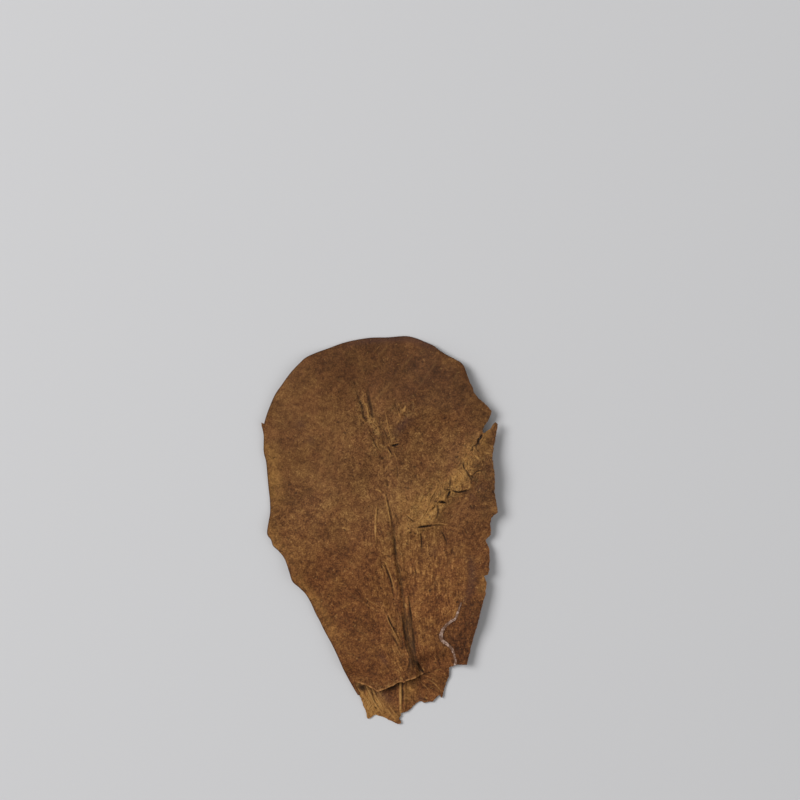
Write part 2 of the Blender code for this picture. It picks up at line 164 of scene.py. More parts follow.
# Cracks right through the blade: their course and their width
CRACKS = [
    ([(10.8, 0.9), (12.0, 1.15), (13.4, 1.3), (14.9, 1.45)], 0.18),
    ([(17.1, 8.05), (17.9, 8.15), (18.8, 7.95)], 0.26),
    ([(20.8, 11.4), (21.6, 11.1), (22.4, 10.95), (23.6, 11.1), (24.7, 11.45)], 0.18),
    ([(19.3, 9.9), (19.7, 10.6), (20.2, 11.3)], 0.16),
    ([(29.0, 27.2), (28.7, 26.4), (28.1, 25.9), (27.9, 24.8)], 0.1),
    ([(3.5, 24.0), (4.3, 24.15), (5.4, 24.5)], 0.16),
    ([(10.9, -37.4), (11.4, -38.7), (12.4, -40.2)], 0.3),
]

# Dark creases and stains on the blade, and painted shade between broad pleats: course, half width and
# strength
BLADE_GROOVES = [
    # These two soft dark bands are painted shade between broad pleats beside the upper midrib
    ([(-6.5, 40.0), (-5.9, 37.4), (-5.0, 35.2), (-4.6, 32.5), (-3.9, 31.4)], 0.6, 0.8),
    ([(-3.5, 40.8), (-3.1, 37.4), (-2.4, 34.8), (-1.8, 32.2)], 0.65, 0.8),
    ([(-3.6, 41.2), (-2.1, 41.3), (-0.7, 41.0)], 0.26, 0.4),
    ([(-4.8, 33.4), (-4.4, 32.2), (-3.8, 31.2)], 0.3, 0.95),
    ([(-2.5, 33.4), (-2.1, 32.6), (-1.8, 31.9)], 0.3, 0.95),
    ([(-7.0, 32.5), (-6.6, 31.7)], 0.34, 0.7),
    ([(-7.2, 30.5), (-6.6, 30.2)], 0.34, 0.6),
    ([(-2.9, 27.3), (-1.8, 26.2), (-1.4, 24.7), (-0.3, 23.2), (0.5, 22.1)], 0.28, 0.75),
    ([(0.8, 29.9), (1.6, 28.0), (2.5, 25.4)], 0.28, 0.7),
    ([(0.7, 20.9), (0.9, 20.1)], 0.5, 0.8),
    ([(2.5, 23.7), (3.0, 22.6), (3.6, 21.5)], 0.28, 0.95),
    ([(3.2, 24.0), (4.4, 24.2), (5.8, 24.6)], 0.4, 0.6),
    ([(4.4, 36.9), (4.6, 35.2), (4.9, 33.7)], 0.3, 0.6),
    ([(6.0, 36.8), (6.4, 35.9)], 0.3, 0.6),
    ([(10.6, 36.7), (11.3, 35.5)], 0.34, 0.6),
    ([(8.6, 34.9), (9.3, 33.6)], 0.28, 0.5),
    ([(4.8, 19.8), (5.0, 18.1), (5.1, 16.4), (5.1, 14.2)], 0.26, 0.65),
    ([(2.1, 14.8), (2.3, 12.5), (2.3, 10.9)], 0.34, 0.55),
    ([(0.1, 11.1), (1.3, 11.0), (2.1, 11.1)], 0.23, 0.45),
    ([(3.3, 10.8), (4.7, 11.8)], 0.34, 0.4),
    ([(1.9, 10.9), (2.4, 8.2), (3.1, 5.2), (3.7, 2.3), (4.1, -0.6)], 0.28, 0.8),
    ([(3.6, 2.6), (4.3, -1.7), (4.5, -5.2), (4.8, -8.2)], 0.34, 0.7),
    ([(4.4, 5.0), (5.1, 3.2)], 0.3, 0.7),
    ([(5.0, -0.9), (5.4, -2.8), (5.7, -5.1)], 0.40, 0.45),
    ([(-0.2, 7.6), (-0.5, 5.0), (-0.6, 2.9)], 0.28, 0.6),
    ([(-0.6, -1.7), (-0.6, -4.6)], 0.23, 0.5),
    ([(-3.3, 6.3), (-3.3, 2.8)], 0.31, 0.4),
    ([(-3.0, -4.9), (-2.4, -7.4)], 0.3, 0.35),
    ([(1.3, -9.0), (2.4, -12.1), (3.3, -14.8), (4.0, -18.8)], 0.28, 0.95),
    ([(0.4, -9.6), (1.5, -11.7)], 0.24, 0.5),
    ([(4.7, -18.8), (5.1, -20.2)], 0.28, 0.55),
    ([(9.9, -9.7), (10.3, -11.6), (10.6, -13.3)], 0.26, 0.6),
    ([(8.3, -8.0), (8.7, -12.0)], 0.24, 0.4),
    ([(1.9, -23.1), (2.6, -24.9), (3.4, -26.7), (4.9, -29.1)], 0.28, 0.95),
    ([(4.4, -28.6), (5.6, -31.0), (7.3, -34.2)], 0.24, 0.6),
    ([(2.5, -28.8), (4.0, -30.6), (5.0, -32.2), (5.8, -33.9)], 0.25, 0.85),
    ([(5.2, -22.4), (5.8, -24.8), (6.4, -27.0)], 0.26, 0.6),
    ([(6.4, -23.4), (6.9, -27.6), (7.4, -30.6), (7.6, -33.0), (8.4, -35.1)], 0.36, 0.9),
    ([(8.4, -35.1), (8.5, -38.1), (7.6, -40.2)], 0.30, 0.75),
    ([(8.2, -18.6), (8.5, -20.4), (8.8, -22.8), (9.1, -24.9), (9.3, -27.3)], 0.3, 0.95),
    ([(9.2, -26.6), (9.7, -29.7), (9.9, -32.7), (10.2, -35.1), (10.6, -36.8)], 0.3, 0.85),
    ([(6.9, -24.0), (8.0, -26.0), (8.9, -27.4)], 0.26, 0.55),
    ([(9.5, -37.3), (9.7, -40.5)], 0.23, 0.6),
    ([(6.7, -37.9), (7.0, -40.8)], 0.28, 0.4),
    ([(10.5, -37.0), (11.4, -38.9), (12.4, -40.6)], 0.42, 0.9),
    ([(11.6, -0.8), (11.9, -2.5), (12.1, -5.6)], 0.26, 1.0),
    ([(17.3, 0.2), (17.9, -0.8), (18.6, -2.1), (19.2, -4.3)], 0.28, 0.95),
    ([(20.4, -5.0), (21.5, -7.0)], 0.31, 0.6),
    ([(24.2, 0.5), (25.0, -1.3)], 0.28, 0.7),
    ([(16.4, 7.9), (16.6, 6.4), (16.6, 5.0), (16.0, 3.2)], 0.28, 0.9),
    ([(14.5, 1.45), (16.6, 1.6), (18.6, 1.45)], 0.22, 0.85),
    ([(10.6, 0.8), (12.6, 1.1), (14.6, 1.4)], 0.42, 0.6),
    ([(16.9, 8.1), (19.2, 7.9)], 0.34, 0.7),
    ([(20.3, 15.5), (20.0, 12.9), (20.1, 11.4)], 0.3, 0.8),
    ([(18.4, 11.9), (20.8, 11.4)], 0.24, 0.9),
    ([(24.0, 11.2), (25.9, 11.8)], 0.22, 0.8),
    ([(19.2, 9.4), (19.9, 11.2)], 0.36, 0.8),
    ([(24.4, 17.4), (25.4, 15.6), (26.2, 13.9)], 0.34, 0.95),
    ([(23.9, 19.5), (23.8, 18.2), (24.5, 17.1)], 0.28, 0.9),
    ([(26.5, 15.8), (27.3, 16.7), (28.3, 17.1), (29.3, 17.2)], 0.26, 0.95),
    ([(26.5, 14.0), (28.0, 14.8)], 0.24, 0.6),
    ([(25.8, 15.6), (26.6, 15.3)], 0.36, 0.95),
    ([(26.5, 24.1), (26.3, 22.7)], 0.3, 0.85),
    ([(29.0, 27.2), (28.7, 26.4), (28.1, 25.9), (27.9, 24.8), (27.3, 24.3), (27.6, 23.3)], 0.32, 0.95),
    ([(27.1, 24.3), (26.7, 24.0)], 0.3, 0.9),
    ([(26.5, 23.2), (26.0, 22.6)], 0.26, 0.9),
    ([(27.6, 22.9), (28.3, 22.5)], 0.34, 0.8),
    ([(22.4, 17.2), (23.2, 16.4)], 0.3, 0.5),
    ([(21.4, 15.4), (21.7, 13.6), (21.4, 12.2)], 0.26, 0.5),
    ([(23.0, 14.2), (23.5, 12.7)], 0.26, 0.4),
    ([(25.0, 14.7), (25.2, 12.8)], 0.26, 0.5),
    ([(15.0, 13.2), (14.6, 10.6)], 0.26, 0.5),
    ([(12.6, 8.6), (12.0, 6.6)], 0.26, 0.5),
    ([(19.1, 13.6), (18.9, 12.2)], 0.26, 0.6),
    ([(7.8, 4.2), (8.8, 3.3), (9.7, 2.6), (10.7, 2.9)], 0.25, 0.8),
    ([(12.4, 3.9), (13.4, 5.3)], 0.25, 0.6),
    ([(14.1, 7.0), (15.0, 9.4), (16.4, 11.8)], 0.26, 0.5),
    ([(8.4, 6.4), (8.8, 5.3)], 0.26, 0.45),
    ([(8.5, -0.8), (9.1, -0.2)], 0.26, 0.9),
    ([(9.9, -0.9), (10.5, -0.7)], 0.28, 0.95),
    ([(9.0, 1.6), (9.9, 0.6)], 0.37, 0.6),
]

# Pale wrinkles that stand up from the blade
BLADE_RIDGES = [
    ([(-4.7, 39.3), (-4.5, 36.7), (-3.5, 34.8), (-2.9, 31.8), (-0.4, 29.2), (0.1, 26.6)], 0.26, 0.85),
    ([(-5.4, 33.4), (-4.9, 31.6), (-3.6, 30.4)], 0.28, 0.6),
    ([(-6.7, 34.4), (-5.8, 31.8), (-5.6, 29.2)], 0.26, 0.6),
    ([(-7.6, 35.2), (-7.2, 33.6)], 0.3, 0.6),
    ([(1.4, 34.8), (2.1, 31.4), (2.7, 28.2), (3.9, 25.0)], 0.24, 0.7),
    ([(-1.2, 31.4), (-0.5, 29.9)], 0.3, 0.6),
    ([(-0.8, 26.4), (-0.5, 23.9), (0.5, 21.7)], 0.26, 0.75),
    ([(0.2, 27.0), (0.8, 24.6)], 0.28, 0.5),
    ([(4.9, 34.8), (5.6, 33.2), (5.9, 31.8), (4.9, 30.3)], 0.25, 0.7),
    ([(7.6, 35.6), (6.9, 34.2), (6.1, 32.9)], 0.28, 0.85),
    ([(6.2, 34.3), (7.4, 34.0)], 0.45, 1.0),
    ([(5.3, 36.2), (5.9, 35.2)], 0.3, 0.7),
    ([(9.8, 33.7), (10.9, 32.2)], 0.3, 0.6),
    ([(9.4, 37.2), (9.9, 35.9)], 0.28, 0.55),
    ([(2.4, 22.9), (3.0, 22.0), (3.4, 21.2)], 0.25, 1.0),
    ([(3.9, 22.4), (4.6, 21.0), (5.0, 19.6)], 0.25, 0.65),
    ([(2.2, 24.6), (3.2, 23.6)], 0.25, 0.6),
    ([(5.4, 19.7), (5.5, 16.8), (5.6, 14.8)], 0.23, 0.4),
    ([(1.0, 19.2), (0.4, 17.0)], 0.4, 0.4),
    ([(-0.6, 8.0), (-1.0, 4.6), (-1.2, 1.4), (-1.2, -0.6), (-0.9, -3.6)], 0.28, 0.85),
    ([(-1.1, 1.6), (-1.2, -1.0)], 0.34, 1.0),
    ([(1.4, 10.7), (1.9, 8.2), (2.5, 5.4), (3.0, 2.6), (3.3, -0.2)], 0.24, 0.85),
    ([(2.5, 9.6), (3.1, 7.0), (3.8, 4.4), (4.5, 2.0), (4.9, -0.6)], 0.24, 0.5),
    ([(-1.1, 11.6), (-0.2, 11.4), (0.6, 10.8)], 0.26, 1.0),
    ([(7.7, 4.8), (8.6, 3.9), (9.7, 3.1)], 0.25, 0.95),
    ([(11.0, 2.8), (11.9, 3.6), (12.9, 5.1)], 0.27, 1.0),
    ([(13.4, 5.6), (13.9, 7.4), (14.5, 9.1), (15.6, 11.2), (16.7, 13.3)], 0.3, 0.75),
    ([(14.8, 7.6), (16.0, 9.4), (16.9, 11.6), (17.5, 14.4)], 0.3, 0.6),
    ([(19.0, 15.4), (18.2, 12.8), (18.3, 11.2)], 0.3, 0.6),
    ([(19.9, 16.6), (20.8, 14.8), (21.2, 12.5)], 0.34, 0.75),
    ([(20.4, 16.8), (21.4, 17.3), (22.4, 17.0), (23.8, 15.2), (24.0, 12.5)], 0.36, 0.8),
    ([(22.5, 16.0), (22.9, 14.0), (22.6, 12.4)], 0.3, 0.6),
    ([(23.4, 18.9), (23.8, 17.4)], 0.26, 0.85),
    ([(25.7, 13.4), (25.3, 11.8)], 0.36, 1.0),
    ([(25.4, 17.8), (26.6, 17.6)], 0.28, 0.8),
    ([(25.5, 16.4), (26.1, 15.9)], 0.3, 1.0),
    ([(26.2, 20.4), (26.0, 18.6)], 0.34, 0.7),
    ([(26.9, 21.5), (27.7, 20.9), (28.3, 20.0)], 0.36, 0.95),
    ([(26.9, 16.0), (27.8, 16.6), (29.2, 16.6)], 0.25, 0.6),
    ([(28.4, 23.4), (28.9, 21.6)], 0.34, 0.6),
    ([(29.8, 22.1), (31.7, 21.9)], 0.28, 0.9),
    ([(15.8, 7.4), (15.9, 6.2), (15.3, 4.6)], 0.4, 0.9),
    ([(14.3, 3.0), (14.0, 2.6)], 0.42, 0.85),
    ([(17.6, 6.9), (17.3, 4.6)], 0.3, 0.5),
    ([(19.4, 8.9), (20.6, 9.4)], 0.34, 0.7),
    ([(10.7, 0.35), (12.7, 0.6), (15.0, 0.9)], 0.24, 0.5),
    ([(15.6, 1.9), (17.5, 2.0), (19.7, 1.5)], 0.24, 0.75),
    ([(7.6, -1.2), (7.8, -0.2), (8.4, 0.2), (8.9, -0.6)], 0.24, 0.95),
    ([(9.4, 0.0), (10.4, 0.2), (10.9, -0.7), (10.3, -1.6)], 0.24, 0.95),
    ([(0.6, -9.5), (1.7, -11.3)], 0.26, 0.65),
    ([(1.4, -8.4), (2.7, -11.4), (3.7, -14.6), (4.8, -18.6)], 0.24, 0.75),
    ([(1.2, -22.5), (2.7, -26.1), (4.6, -29.7), (7.0, -33.3)], 0.22, 0.75),
    ([(2.3, -22.6), (3.4, -25.2), (4.7, -27.8)], 0.24, 0.55),
    ([(-4.2, -18.9), (-2.9, -20.1), (-1.1, -21.0), (1.2, -22.4)], 0.23, 0.6),
    ([(3.2, -28.2), (4.6, -30.4), (5.8, -32.6)], 0.24, 0.7),
    ([(5.2, -33.4), (6.2, -35.6)], 0.24, 0.5),
    ([(3.2, -39.2), (4.6, -39.4), (5.6, -40.0), (6.2, -41.2)], 0.26, 0.7),
    ([(5.8, -41.4), (6.6, -42.4)], 0.4, 0.8),
    ([(9.0, -36.8), (9.0, -40.8)], 0.20, 0.45),
    ([(10.3, -37.3), (10.5, -41.0)], 0.20, 0.5),
    ([(12.3, -33.0), (12.5, -36.0)], 0.28, 0.5),
    ([(7.2, -20.6), (7.8, -22.2)], 0.5, 0.8),
    ([(8.0, -24.4), (8.2, -26.4)], 0.28, 0.6),
    ([(-1.7, 50.4), (-0.7, 51.6), (0.4, 52.9)], 0.28, 0.5),
    ([(9.7, 41.2), (11.5, 39.6), (14.4, 39.9), (15.7, 37.9)], 0.23, 0.45),
    ([(-7.3, 53.4), (-7.1, 51.0)], 0.26, 0.4),
    ([(10.8, 16.1), (11.0, 14.8)], 0.34, 0.7),
]

# Purplish stains, with painted shade and a painted reflection among them, and golden patches where the
# surface has crumpled, rubbed or dried paler
BLADE_WINE_STAINS_SHADE_AND_REFLECTION = [
    ([(4.6, 27.6), (6.4, 30.0), (8.4, 31.8)], 1.2, 0.75),
    # A purplish painted reflection beside the raised crease, not a stain
    ([(25.8, -8.0), (26.3, -12.8), (25.9, -16.0), (24.4, -19.6)], 1.3, 0.75),
    ([(-23.2, 30.2), (-21.8, 30.2)], 1.4, 0.5),
    ([(-19.8, 26.2), (-19.2, 25.4)], 1.0, 0.4),
    ([(0.4, -35.3), (2.1, -37.9)], 0.85, 0.6),
    ([(27.8, 12.4), (28.8, 11.8)], 1.0, 0.6),
    ([(25.7, 10.2), (26.5, 9.5)], 0.9, 0.6),
    # Painted shade along the tip's margin, where it curls down
    ([(-8.7, 53.3), (-1.3, 54.2), (5.8, 54.6), (11.0, 54.0), (15.5, 52.2)], 1.1, 0.95),
    ([(14.4, -6.6), (16.1, -5.4)], 1.15, 0.35),
]
CRUMPLED_GOLD = [
    ([(26.8, 24.6), (25.2, 20.0), (23.7, 15.7), (20.7, 12.4), (17.2, 8.6), (14.4, 5.1), (11.5, 1.9)],
     2.5, 0.7),
    ([(17.2, 14.8), (13.8, 10.0), (10.1, 5.1), (8.1, 2.3)], 2.8, 0.5),
    ([(16.0, 7.0), (15.2, 4.8), (13.6, 2.8)], 1.2, 1.0),
    ([(22.0, 16.0), (22.6, 13.0)], 1.6, 0.3),
]  # fmt: skip
BLADE_GOLDEN_PATCHES = [
    ([(6.4, 10.0), (7.0, 4.3)], 1.5, 0.3),
    ([(31.5, 30.2), (29.8, 25.7), (28.1, 22.2)], 1.3, 0.6),
    ([(-31.3, 22.8), (-30.1, 14.0), (-29.6, 7.0)], 2.6, 0.6),
    ([(-30.5, 2.0), (-29.0, -4.0), (-25.0, -9.0)], 1.8, 0.4),
    ([(-24.5, -8.8), (-22.5, -14.5), (-17.0, -21.7), (-12.2, -31.4)], 1.5, 0.45),
    ([(29.6, -13.4), (29.0, -18.0)], 1.1, 0.45),
]

# Where else the sheet has crinkled into small facets
CRINKLED_PATCHES = [
    ([(-5.6, 40.0), (-4.0, 34.0), (-1.6, 28.0), (0.6, 21.0)], 2.6, 0.7),
    ([(3.2, 33.6), (6.4, 33.4), (9.8, 35.2)], 2.2, 0.6),
    ([(2.4, 29.0), (4.2, 24.0)], 1.8, 0.6),
    ([(2.0, 8.0), (4.4, -4.0), (5.0, -16.0)], 2.2, 0.3),
    ([(4.0, -26.0), (7.6, -36.0)], 2.6, 0.35),
    ([(-4.4, -43.0), (1.0, -44.4), (8.0, -41.8)], 1.2, 0.5),
    ([(29.0, 26.0), (29.6, 20.0), (27.6, 13.0)], 2.6, 0.45),
]

# The same kinds of mark on the foot, with painted shade under the blade's torn lip among them
FOOT_GROOVES = [
    ([(6.6, -43.3), (6.6, -46.2), (6.7, -49.3)], 0.26, 0.9),
    ([(7.7, -43.6), (7.8, -47.0)], 0.23, 0.45),
    ([(-3.0, -44.2), (-2.1, -46.2), (-1.6, -48.2), (-0.7, -49.9), (0.4, -51.6)], 0.26, 0.6),
    ([(-1.4, -45.3), (-0.7, -47.3), (0.1, -49.3)], 0.23, 0.5),
    ([(-1.6, -50.2), (-0.6, -51.1)], 0.28, 0.85),
    # Painted shade in the hollow under the left end of the torn lip
    ([(-5.6, -44.3), (-4.1, -45.5)], 0.91, 0.75),
    ([(12.4, -42.2), (14.4, -42.7), (16.8, -44.3)], 0.20, 0.5),
    ([(13.0, -45.6), (15.5, -46.6)], 0.20, 0.4),
    ([(13.5, -41.2), (15.5, -41.6), (17.8, -43.3)], 0.20, 0.45),
    ([(12.3, -48.0), (13.5, -48.4)], 0.46, 0.7),
    ([(11.0, -45.0), (11.3, -46.2)], 0.63, 0.4),
    # Painted shade under the torn lip
    ([(1.9, -43.9), (3.6, -44.7), (4.4, -43.6)], 1.14, 0.55),
]
FOOT_RIDGES = [
    ([(-3.9, -43.6), (-3.2, -45.6), (-2.3, -47.3), (-1.3, -49.3), (-0.1, -51.0), (0.7, -52.4)], 0.34, 1.0),
    ([(-2.6, -44.2), (-1.4, -46.5), (-0.3, -48.4), (0.6, -50.4), (1.1, -52.2)], 0.3, 0.9),
    ([(-4.6, -46.4), (-3.4, -49.0), (-2.4, -51.6)], 0.34, 0.85),
    ([(-3.6, -47.4), (-2.6, -49.8), (-1.6, -51.8)], 0.28, 0.8),
    ([(-4.4, -49.8), (-3.4, -52.8)], 0.34, 0.7),
    ([(0.6, -48.6), (1.9, -51.4), (3.0, -53.2)], 0.3, 0.7),
    ([(1.6, -50.2), (3.4, -52.6), (5.2, -54.4)], 0.34, 0.75),
    ([(5.9, -42.4), (6.0, -47.0), (6.0, -52.6)], 0.5, 1.0),
    ([(7.3, -43.0), (7.3, -47.3), (7.4, -51.3)], 0.3, 0.6),
    ([(12.9, -42.4), (14.6, -42.8), (16.6, -44.6), (17.8, -46.4)], 0.26, 0.7),
    ([(11.8, -43.4), (13.2, -44.6), (14.6, -46.6)], 0.26, 0.6),
    ([(-2.0, -49.6), (-0.8, -50.7)], 0.23, 0.7),
    ([(-3.2, -43.8), (-2.2, -45.8), (-1.0, -47.6), (0.4, -49.6), (1.6, -51.8)], 0.24, 0.9),
    ([(-4.0, -45.2), (-3.0, -47.2), (-2.0, -49.4), (-0.9, -51.6)], 0.24, 0.85),
    ([(-5.0, -47.4), (-4.0, -50.0), (-3.1, -52.4)], 0.24, 0.8),
    ([(2.4, -49.4), (3.6, -51.2), (5.0, -53.0)], 0.24, 0.7),
    ([(3.8, -51.6), (5.3, -53.0), (4.7, -54.4)], 0.34, 0.5),
    ([(12.7, -41.0), (15.0, -40.8), (17.5, -42.3)], 0.23, 0.5),
    ([(12.8, -43.9), (15.2, -44.6), (17.5, -45.7)], 0.23, 0.45),
    ([(14.4, -39.9), (16.4, -39.6), (19.2, -38.6)], 0.46, 0.6),
    ([(12.7, -47.5), (13.8, -47.9)], 0.26, 0.5),
]
FOOT_WINE_STAINS_AND_SHADE = [
    # Partly a reddish spot, partly painted shade under the torn lip
    ([(-0.6, -46.6), (1.2, -47.2), (3.0, -48.6)], 1.5, 0.7),
    # Painted shade in the hollow under the left end of the torn lip
    ([(-5.8, -44.6), (-4.6, -45.6)], 0.9, 0.6),
    ([(11.3, -47.6), (12.7, -48.7)], 0.71, 0.7),
]
FOOT_GOLDEN_PATCHES = [
    ([(-4.6, -46.0), (-3.0, -50.5), (-0.5, -50.0), (1.5, -52.0)], 2.8, 0.9),
    ([(8.6, -43.6), (9.0, -48.4)], 1.6, 0.5),
    ([(3.5, -52.5), (5.3, -53.6)], 1.6, 0.6),
]

# What the finish is told of the foot, the same all over it: no whole margin, lip or side vein is near
PLAIN_FOOT_FACTS = {
    "whole": 9.0, "lip": 9.0, "vein_count": 0.5, "vein_fade": 0.0, "pleated": 1.0, "warm": 1.0,
    "highlit_crease": 0.0, "calm": 0.0, "furrow": 0.0,
}  # fmt: skip

# How much lighter or darker than the rest each broad part of the blade is: x, y, two radii, shift
BLADE_TONES = [
    (2.0, 49.0, 30.0, 9.0, -0.15),
    (18.0, 40.0, 12.0, 8.0, -0.15),
    (-16.0, 36.0, 12.0, 10.0, 0.03),
    (30.5, 8.0, 4.5, 18.0, -0.12),
    (4.0, 10.0, 13.0, 12.0, 0.05),
    (11.0, 6.0, 7.0, 5.0, 0.10),
    (20.5, 18.0, 3.5, 3.0, -0.10),
    (14.0, -14.0, 8.0, 13.0, 0.06),
    (2.0, -20.0, 3.5, 10.0, 0.06),
    (-12.0, -4.0, 9.0, 16.0, 0.03),
    (-4.0, -36.0, 7.0, 6.0, -0.04),
]

# A narrow raised crease down the lower right corner, with a painted highlight along it, and its half width
# at some shares of its length
HIGHLIT_CREASE = [
    (23.2, -20.4), (22.9, -21.3), (22.3, -23.0), (21.6, -24.9), (20.3, -25.8), (18.8, -27.1),
    (17.8, -28.6), (17.4, -30.1), (18.0, -31.4), (19.4, -32.4), (20.5, -33.5), (21.1, -34.8),
    (21.5, -36.9), (21.5, -38.0),
]  # fmt: skip
HIGHLIT_CREASE_HALF_WIDTH = ([0.0, 0.2, 0.4, 0.55, 0.7, 0.85, 1.0], [0.24, 0.36, 0.42, 0.6, 0.5, 0.38, 0.42])

# The wavy margin of the darker stain in the lower right corner
CORNER_STAIN_MARGIN = [
    (24.4, -16.0), (23.8, -18.8), (22.7, -21.1), (21.9, -24.1), (19.9, -25.9), (17.5, -28.2),
    (17.4, -30.5), (19.2, -32.2), (20.9, -33.6), (21.5, -35.9), (21.4, -38.6),
]  # fmt: skip

# The two sides of the furrow above the tear, between which shade is painted
FURROW_LEFT = [(6.8, -20.0), (6.4, -24.6), (7.4, -30.6), (8.4, -35.1), (8.5, -38.1), (7.6, -40.2)]
FURROW_RIGHT = [(8.2, -20.0), (8.8, -22.8), (9.3, -27.3), (9.9, -32.7), (10.2, -35.1), (10.4, -38.0)]


def smooth_line(points, step):
    """Points about a step apart on the curve that runs smoothly through the given ones."""
    p = np.array(points, float)
    p = np.vstack([2 * p[0] - p[1], p, 2 * p[-1] - p[-2]])
    dense = []
    for a, b, c, d in zip(p, p[1:], p[2:], p[3:]):
        t = np.linspace(0, 1, 24, endpoint=False)[:, None]
        dense.append(
            b
            + 0.5 * t * (c - a)
            + t * t * (a - 2.5 * b + 2 * c - 0.5 * d)
            + t**3 * (1.5 * (b - c) + 0.5 * (d - a))
        )
    return even_steps(np.vstack(dense + [p[-2:-1]]), step)


def even_steps(line, step):
    """The same line with its points evenly spaced, its two ends kept."""
    run = np.r_[0, np.cumsum(np.hypot(*np.diff(line, axis=0).T))]
    at = np.linspace(0, run[-1], max(2, round(run[-1] / step) + 1))
    return np.column_stack([np.interp(at, run, line[:, k]) for k in (0, 1)])


def sideways(line):
    """The direction square to a line of points, to its left, at each point."""
    run = np.gradient(line, axis=0)
    run /= np.maximum(np.hypot(*run.T), 1e-9)[:, None]
    return np.column_stack([-run[:, 1], run[:, 0]])


def torn_line(points, roughness, seed):
    """The torn edge through the given corners, with small teeth. Its two ends stay."""
    corners = np.array(points, float)
    pieces = [even_steps(corners[i : i + 2], FACE_STEP)[:-1] for i in range(len(corners) - 1)]
    line = np.vstack(pieces + [corners[-1:]])
    rng = np.random.default_rng(seed)
    count = np.arange(len(line))
    broad = np.interp(count, count[::3], rng.uniform(-1, 1, len(count[::3])))
    teeth = roughness * (0.65 * broad + 0.35 * rng.uniform(-1, 1, len(line)))
    teeth[0] = teeth[-1] = 0
    return line + teeth[:, None] * sideways(line)


def closed_outline(stretches):
    """Stretches joined end to end round the sheet, without doubled points, inside the solid's box."""
    line = np.clip(np.vstack(stretches), LOWEST[:2], HIGHEST[:2])
    ahead = np.roll(line, -1, axis=0)
    return line[np.hypot(*(ahead - line).T) > 0.05]


def whole_margin():
    """The two smooth stretches of the blade's margin."""
    return [smooth_line(TIP_MARGIN, FACE_STEP), smooth_line(LEFT_MARGIN, FACE_STEP)]


def blade_outline():
    tip, left = whole_margin()
    tear = torn_line(LEFT_STRIP + TEAR_LIP + LOWER_EDGE, 0.17, 2)
    right = torn_line(RIGHT_MARGIN + NOTCH + UPPER_LIP, 0.14, 3)
    return closed_outline([tip, torn_line(LEFT_POINT, 0.08, 1), left, tear, right])


def foot_outline():
    return closed_outline([torn_line(FOOT_END + FOOT_HIDDEN_EDGE, 0.12, 4)])


def crack_outline(course, width, seed):
    """The rim of a crack: a narrow gap that closes at both ends, with uneven lips."""
    line = smooth_line(course, 0.22)
    along = np.linspace(0, 1, len(line))
    rng = np.random.default_rng(seed)
    half = 0.5 * width * np.sin(math.pi * along)
    side = sideways(line)
    upper = line + (half * rng.uniform(0.7, 1.3, len(line)))[:, None] * side
    lower = line - (half * rng.uniform(0.7, 1.3, len(line)))[:, None] * side
    return np.vstack([line[:1], upper[1:-1], line[-1:], lower[-2:0:-1]])


def distance_to(x, y, line, closed=False):
    """Each point's distance from a line of points, and its nearest spot's share of the line, 0 to 1."""
    start = np.asarray(line, float)
    end = np.roll(start, -1, axis=0)
    if not closed:
        start, end = start[:-1], end[:-1]
    run = end - start
    length = np.maximum(np.hypot(*run.T), 1e-9)
    before = np.r_[0, np.cumsum(length)[:-1]]
    gaps = [np.empty(0)]
    alongs = [np.empty(0)]
    for at in range(0, len(x), 4000):
        px = x[at : at + 4000, None] - start[:, 0]
        py = y[at : at + 4000, None] - start[:, 1]
        t = np.clip((px * run[:, 0] + py * run[:, 1]) / length**2, 0, 1)
        gap = np.hypot(px - t * run[:, 0], py - t * run[:, 1])
        nearest = gap.argmin(axis=1)
        rows = np.arange(len(px))
        gaps.append(gap[rows, nearest])
        alongs.append((before[nearest] + t[rows, nearest] * length[nearest]) / length.sum())
    return np.concatenate(gaps), np.concatenate(alongs)


def inside(x, y, outline):
    """Which points lie inside a closed outline."""
    ax, ay = outline.T
    bx, by = np.roll(outline, -1, axis=0).T
    rise = np.where(by == ay, 1e-12, by - ay)
    found = [np.empty(0, bool)]
    for at in range(0, len(x), 4000):
        px, py = x[at : at + 4000, None], y[at : at + 4000, None]
        crosses = (ay > py) != (by > py)
        found.append((crosses & (px < (bx - ax) * (py - ay) / rise + ax)).sum(axis=1) % 2 == 1)
    return np.concatenate(found)


def ramp(low, high, value):
    """0 below low, 1 above high, smooth between."""
    t = np.clip((value - low) / (high - low), 0, 1)
    return t * t * (3 - 2 * t)


def bump(distance, width):
    return np.exp(-((distance / width) ** 2))


def ruffle(x, y, size, seed):
    """Smooth random values from -1 to 1, with swellings of about this size."""
    table = np.random.default_rng(seed).uniform(-1, 1, (61, 61))
    u, v = x / size + 1000, y / size + 1000
    i, j = np.floor(u).astype(int), np.floor(v).astype(int)
    fu, fv = u - i, v - j
    fu, fv = fu * fu * (3 - 2 * fu), fv * fv * (3 - 2 * fv)
    left = table[i % 61, j % 61] * (1 - fv) + table[i % 61, (j + 1) % 61] * fv
    right = table[(i + 1) % 61, j % 61] * (1 - fv) + table[(i + 1) % 61, (j + 1) % 61] * fv
    return left * (1 - fu) + right * fu


def x_on(line, y):
    """Where a line of points that runs down the leaf lies across it, at each height up it."""
    return np.interp(y, *np.array(line)[::-1, ::-1].T)


def midrib_x(y):
    return x_on(smooth_line(MIDRIB, 1.0), y)


def vein_count(across, y):
    """A number that passes a whole number on every side vein."""
    out = np.abs(across)
    right = across > 0
    slope = np.where(right, VEIN_CLIMB[1][0], VEIN_CLIMB[-1][0])
    bend = np.where(right, VEIN_CLIMB[1][1], VEIN_CLIMB[-1][1])
    offset = np.where(right, 0.45, 0.0)
    return (y - slope * out - bend * out**2 - LOWEST_VEIN) / VEIN_SPACING - offset


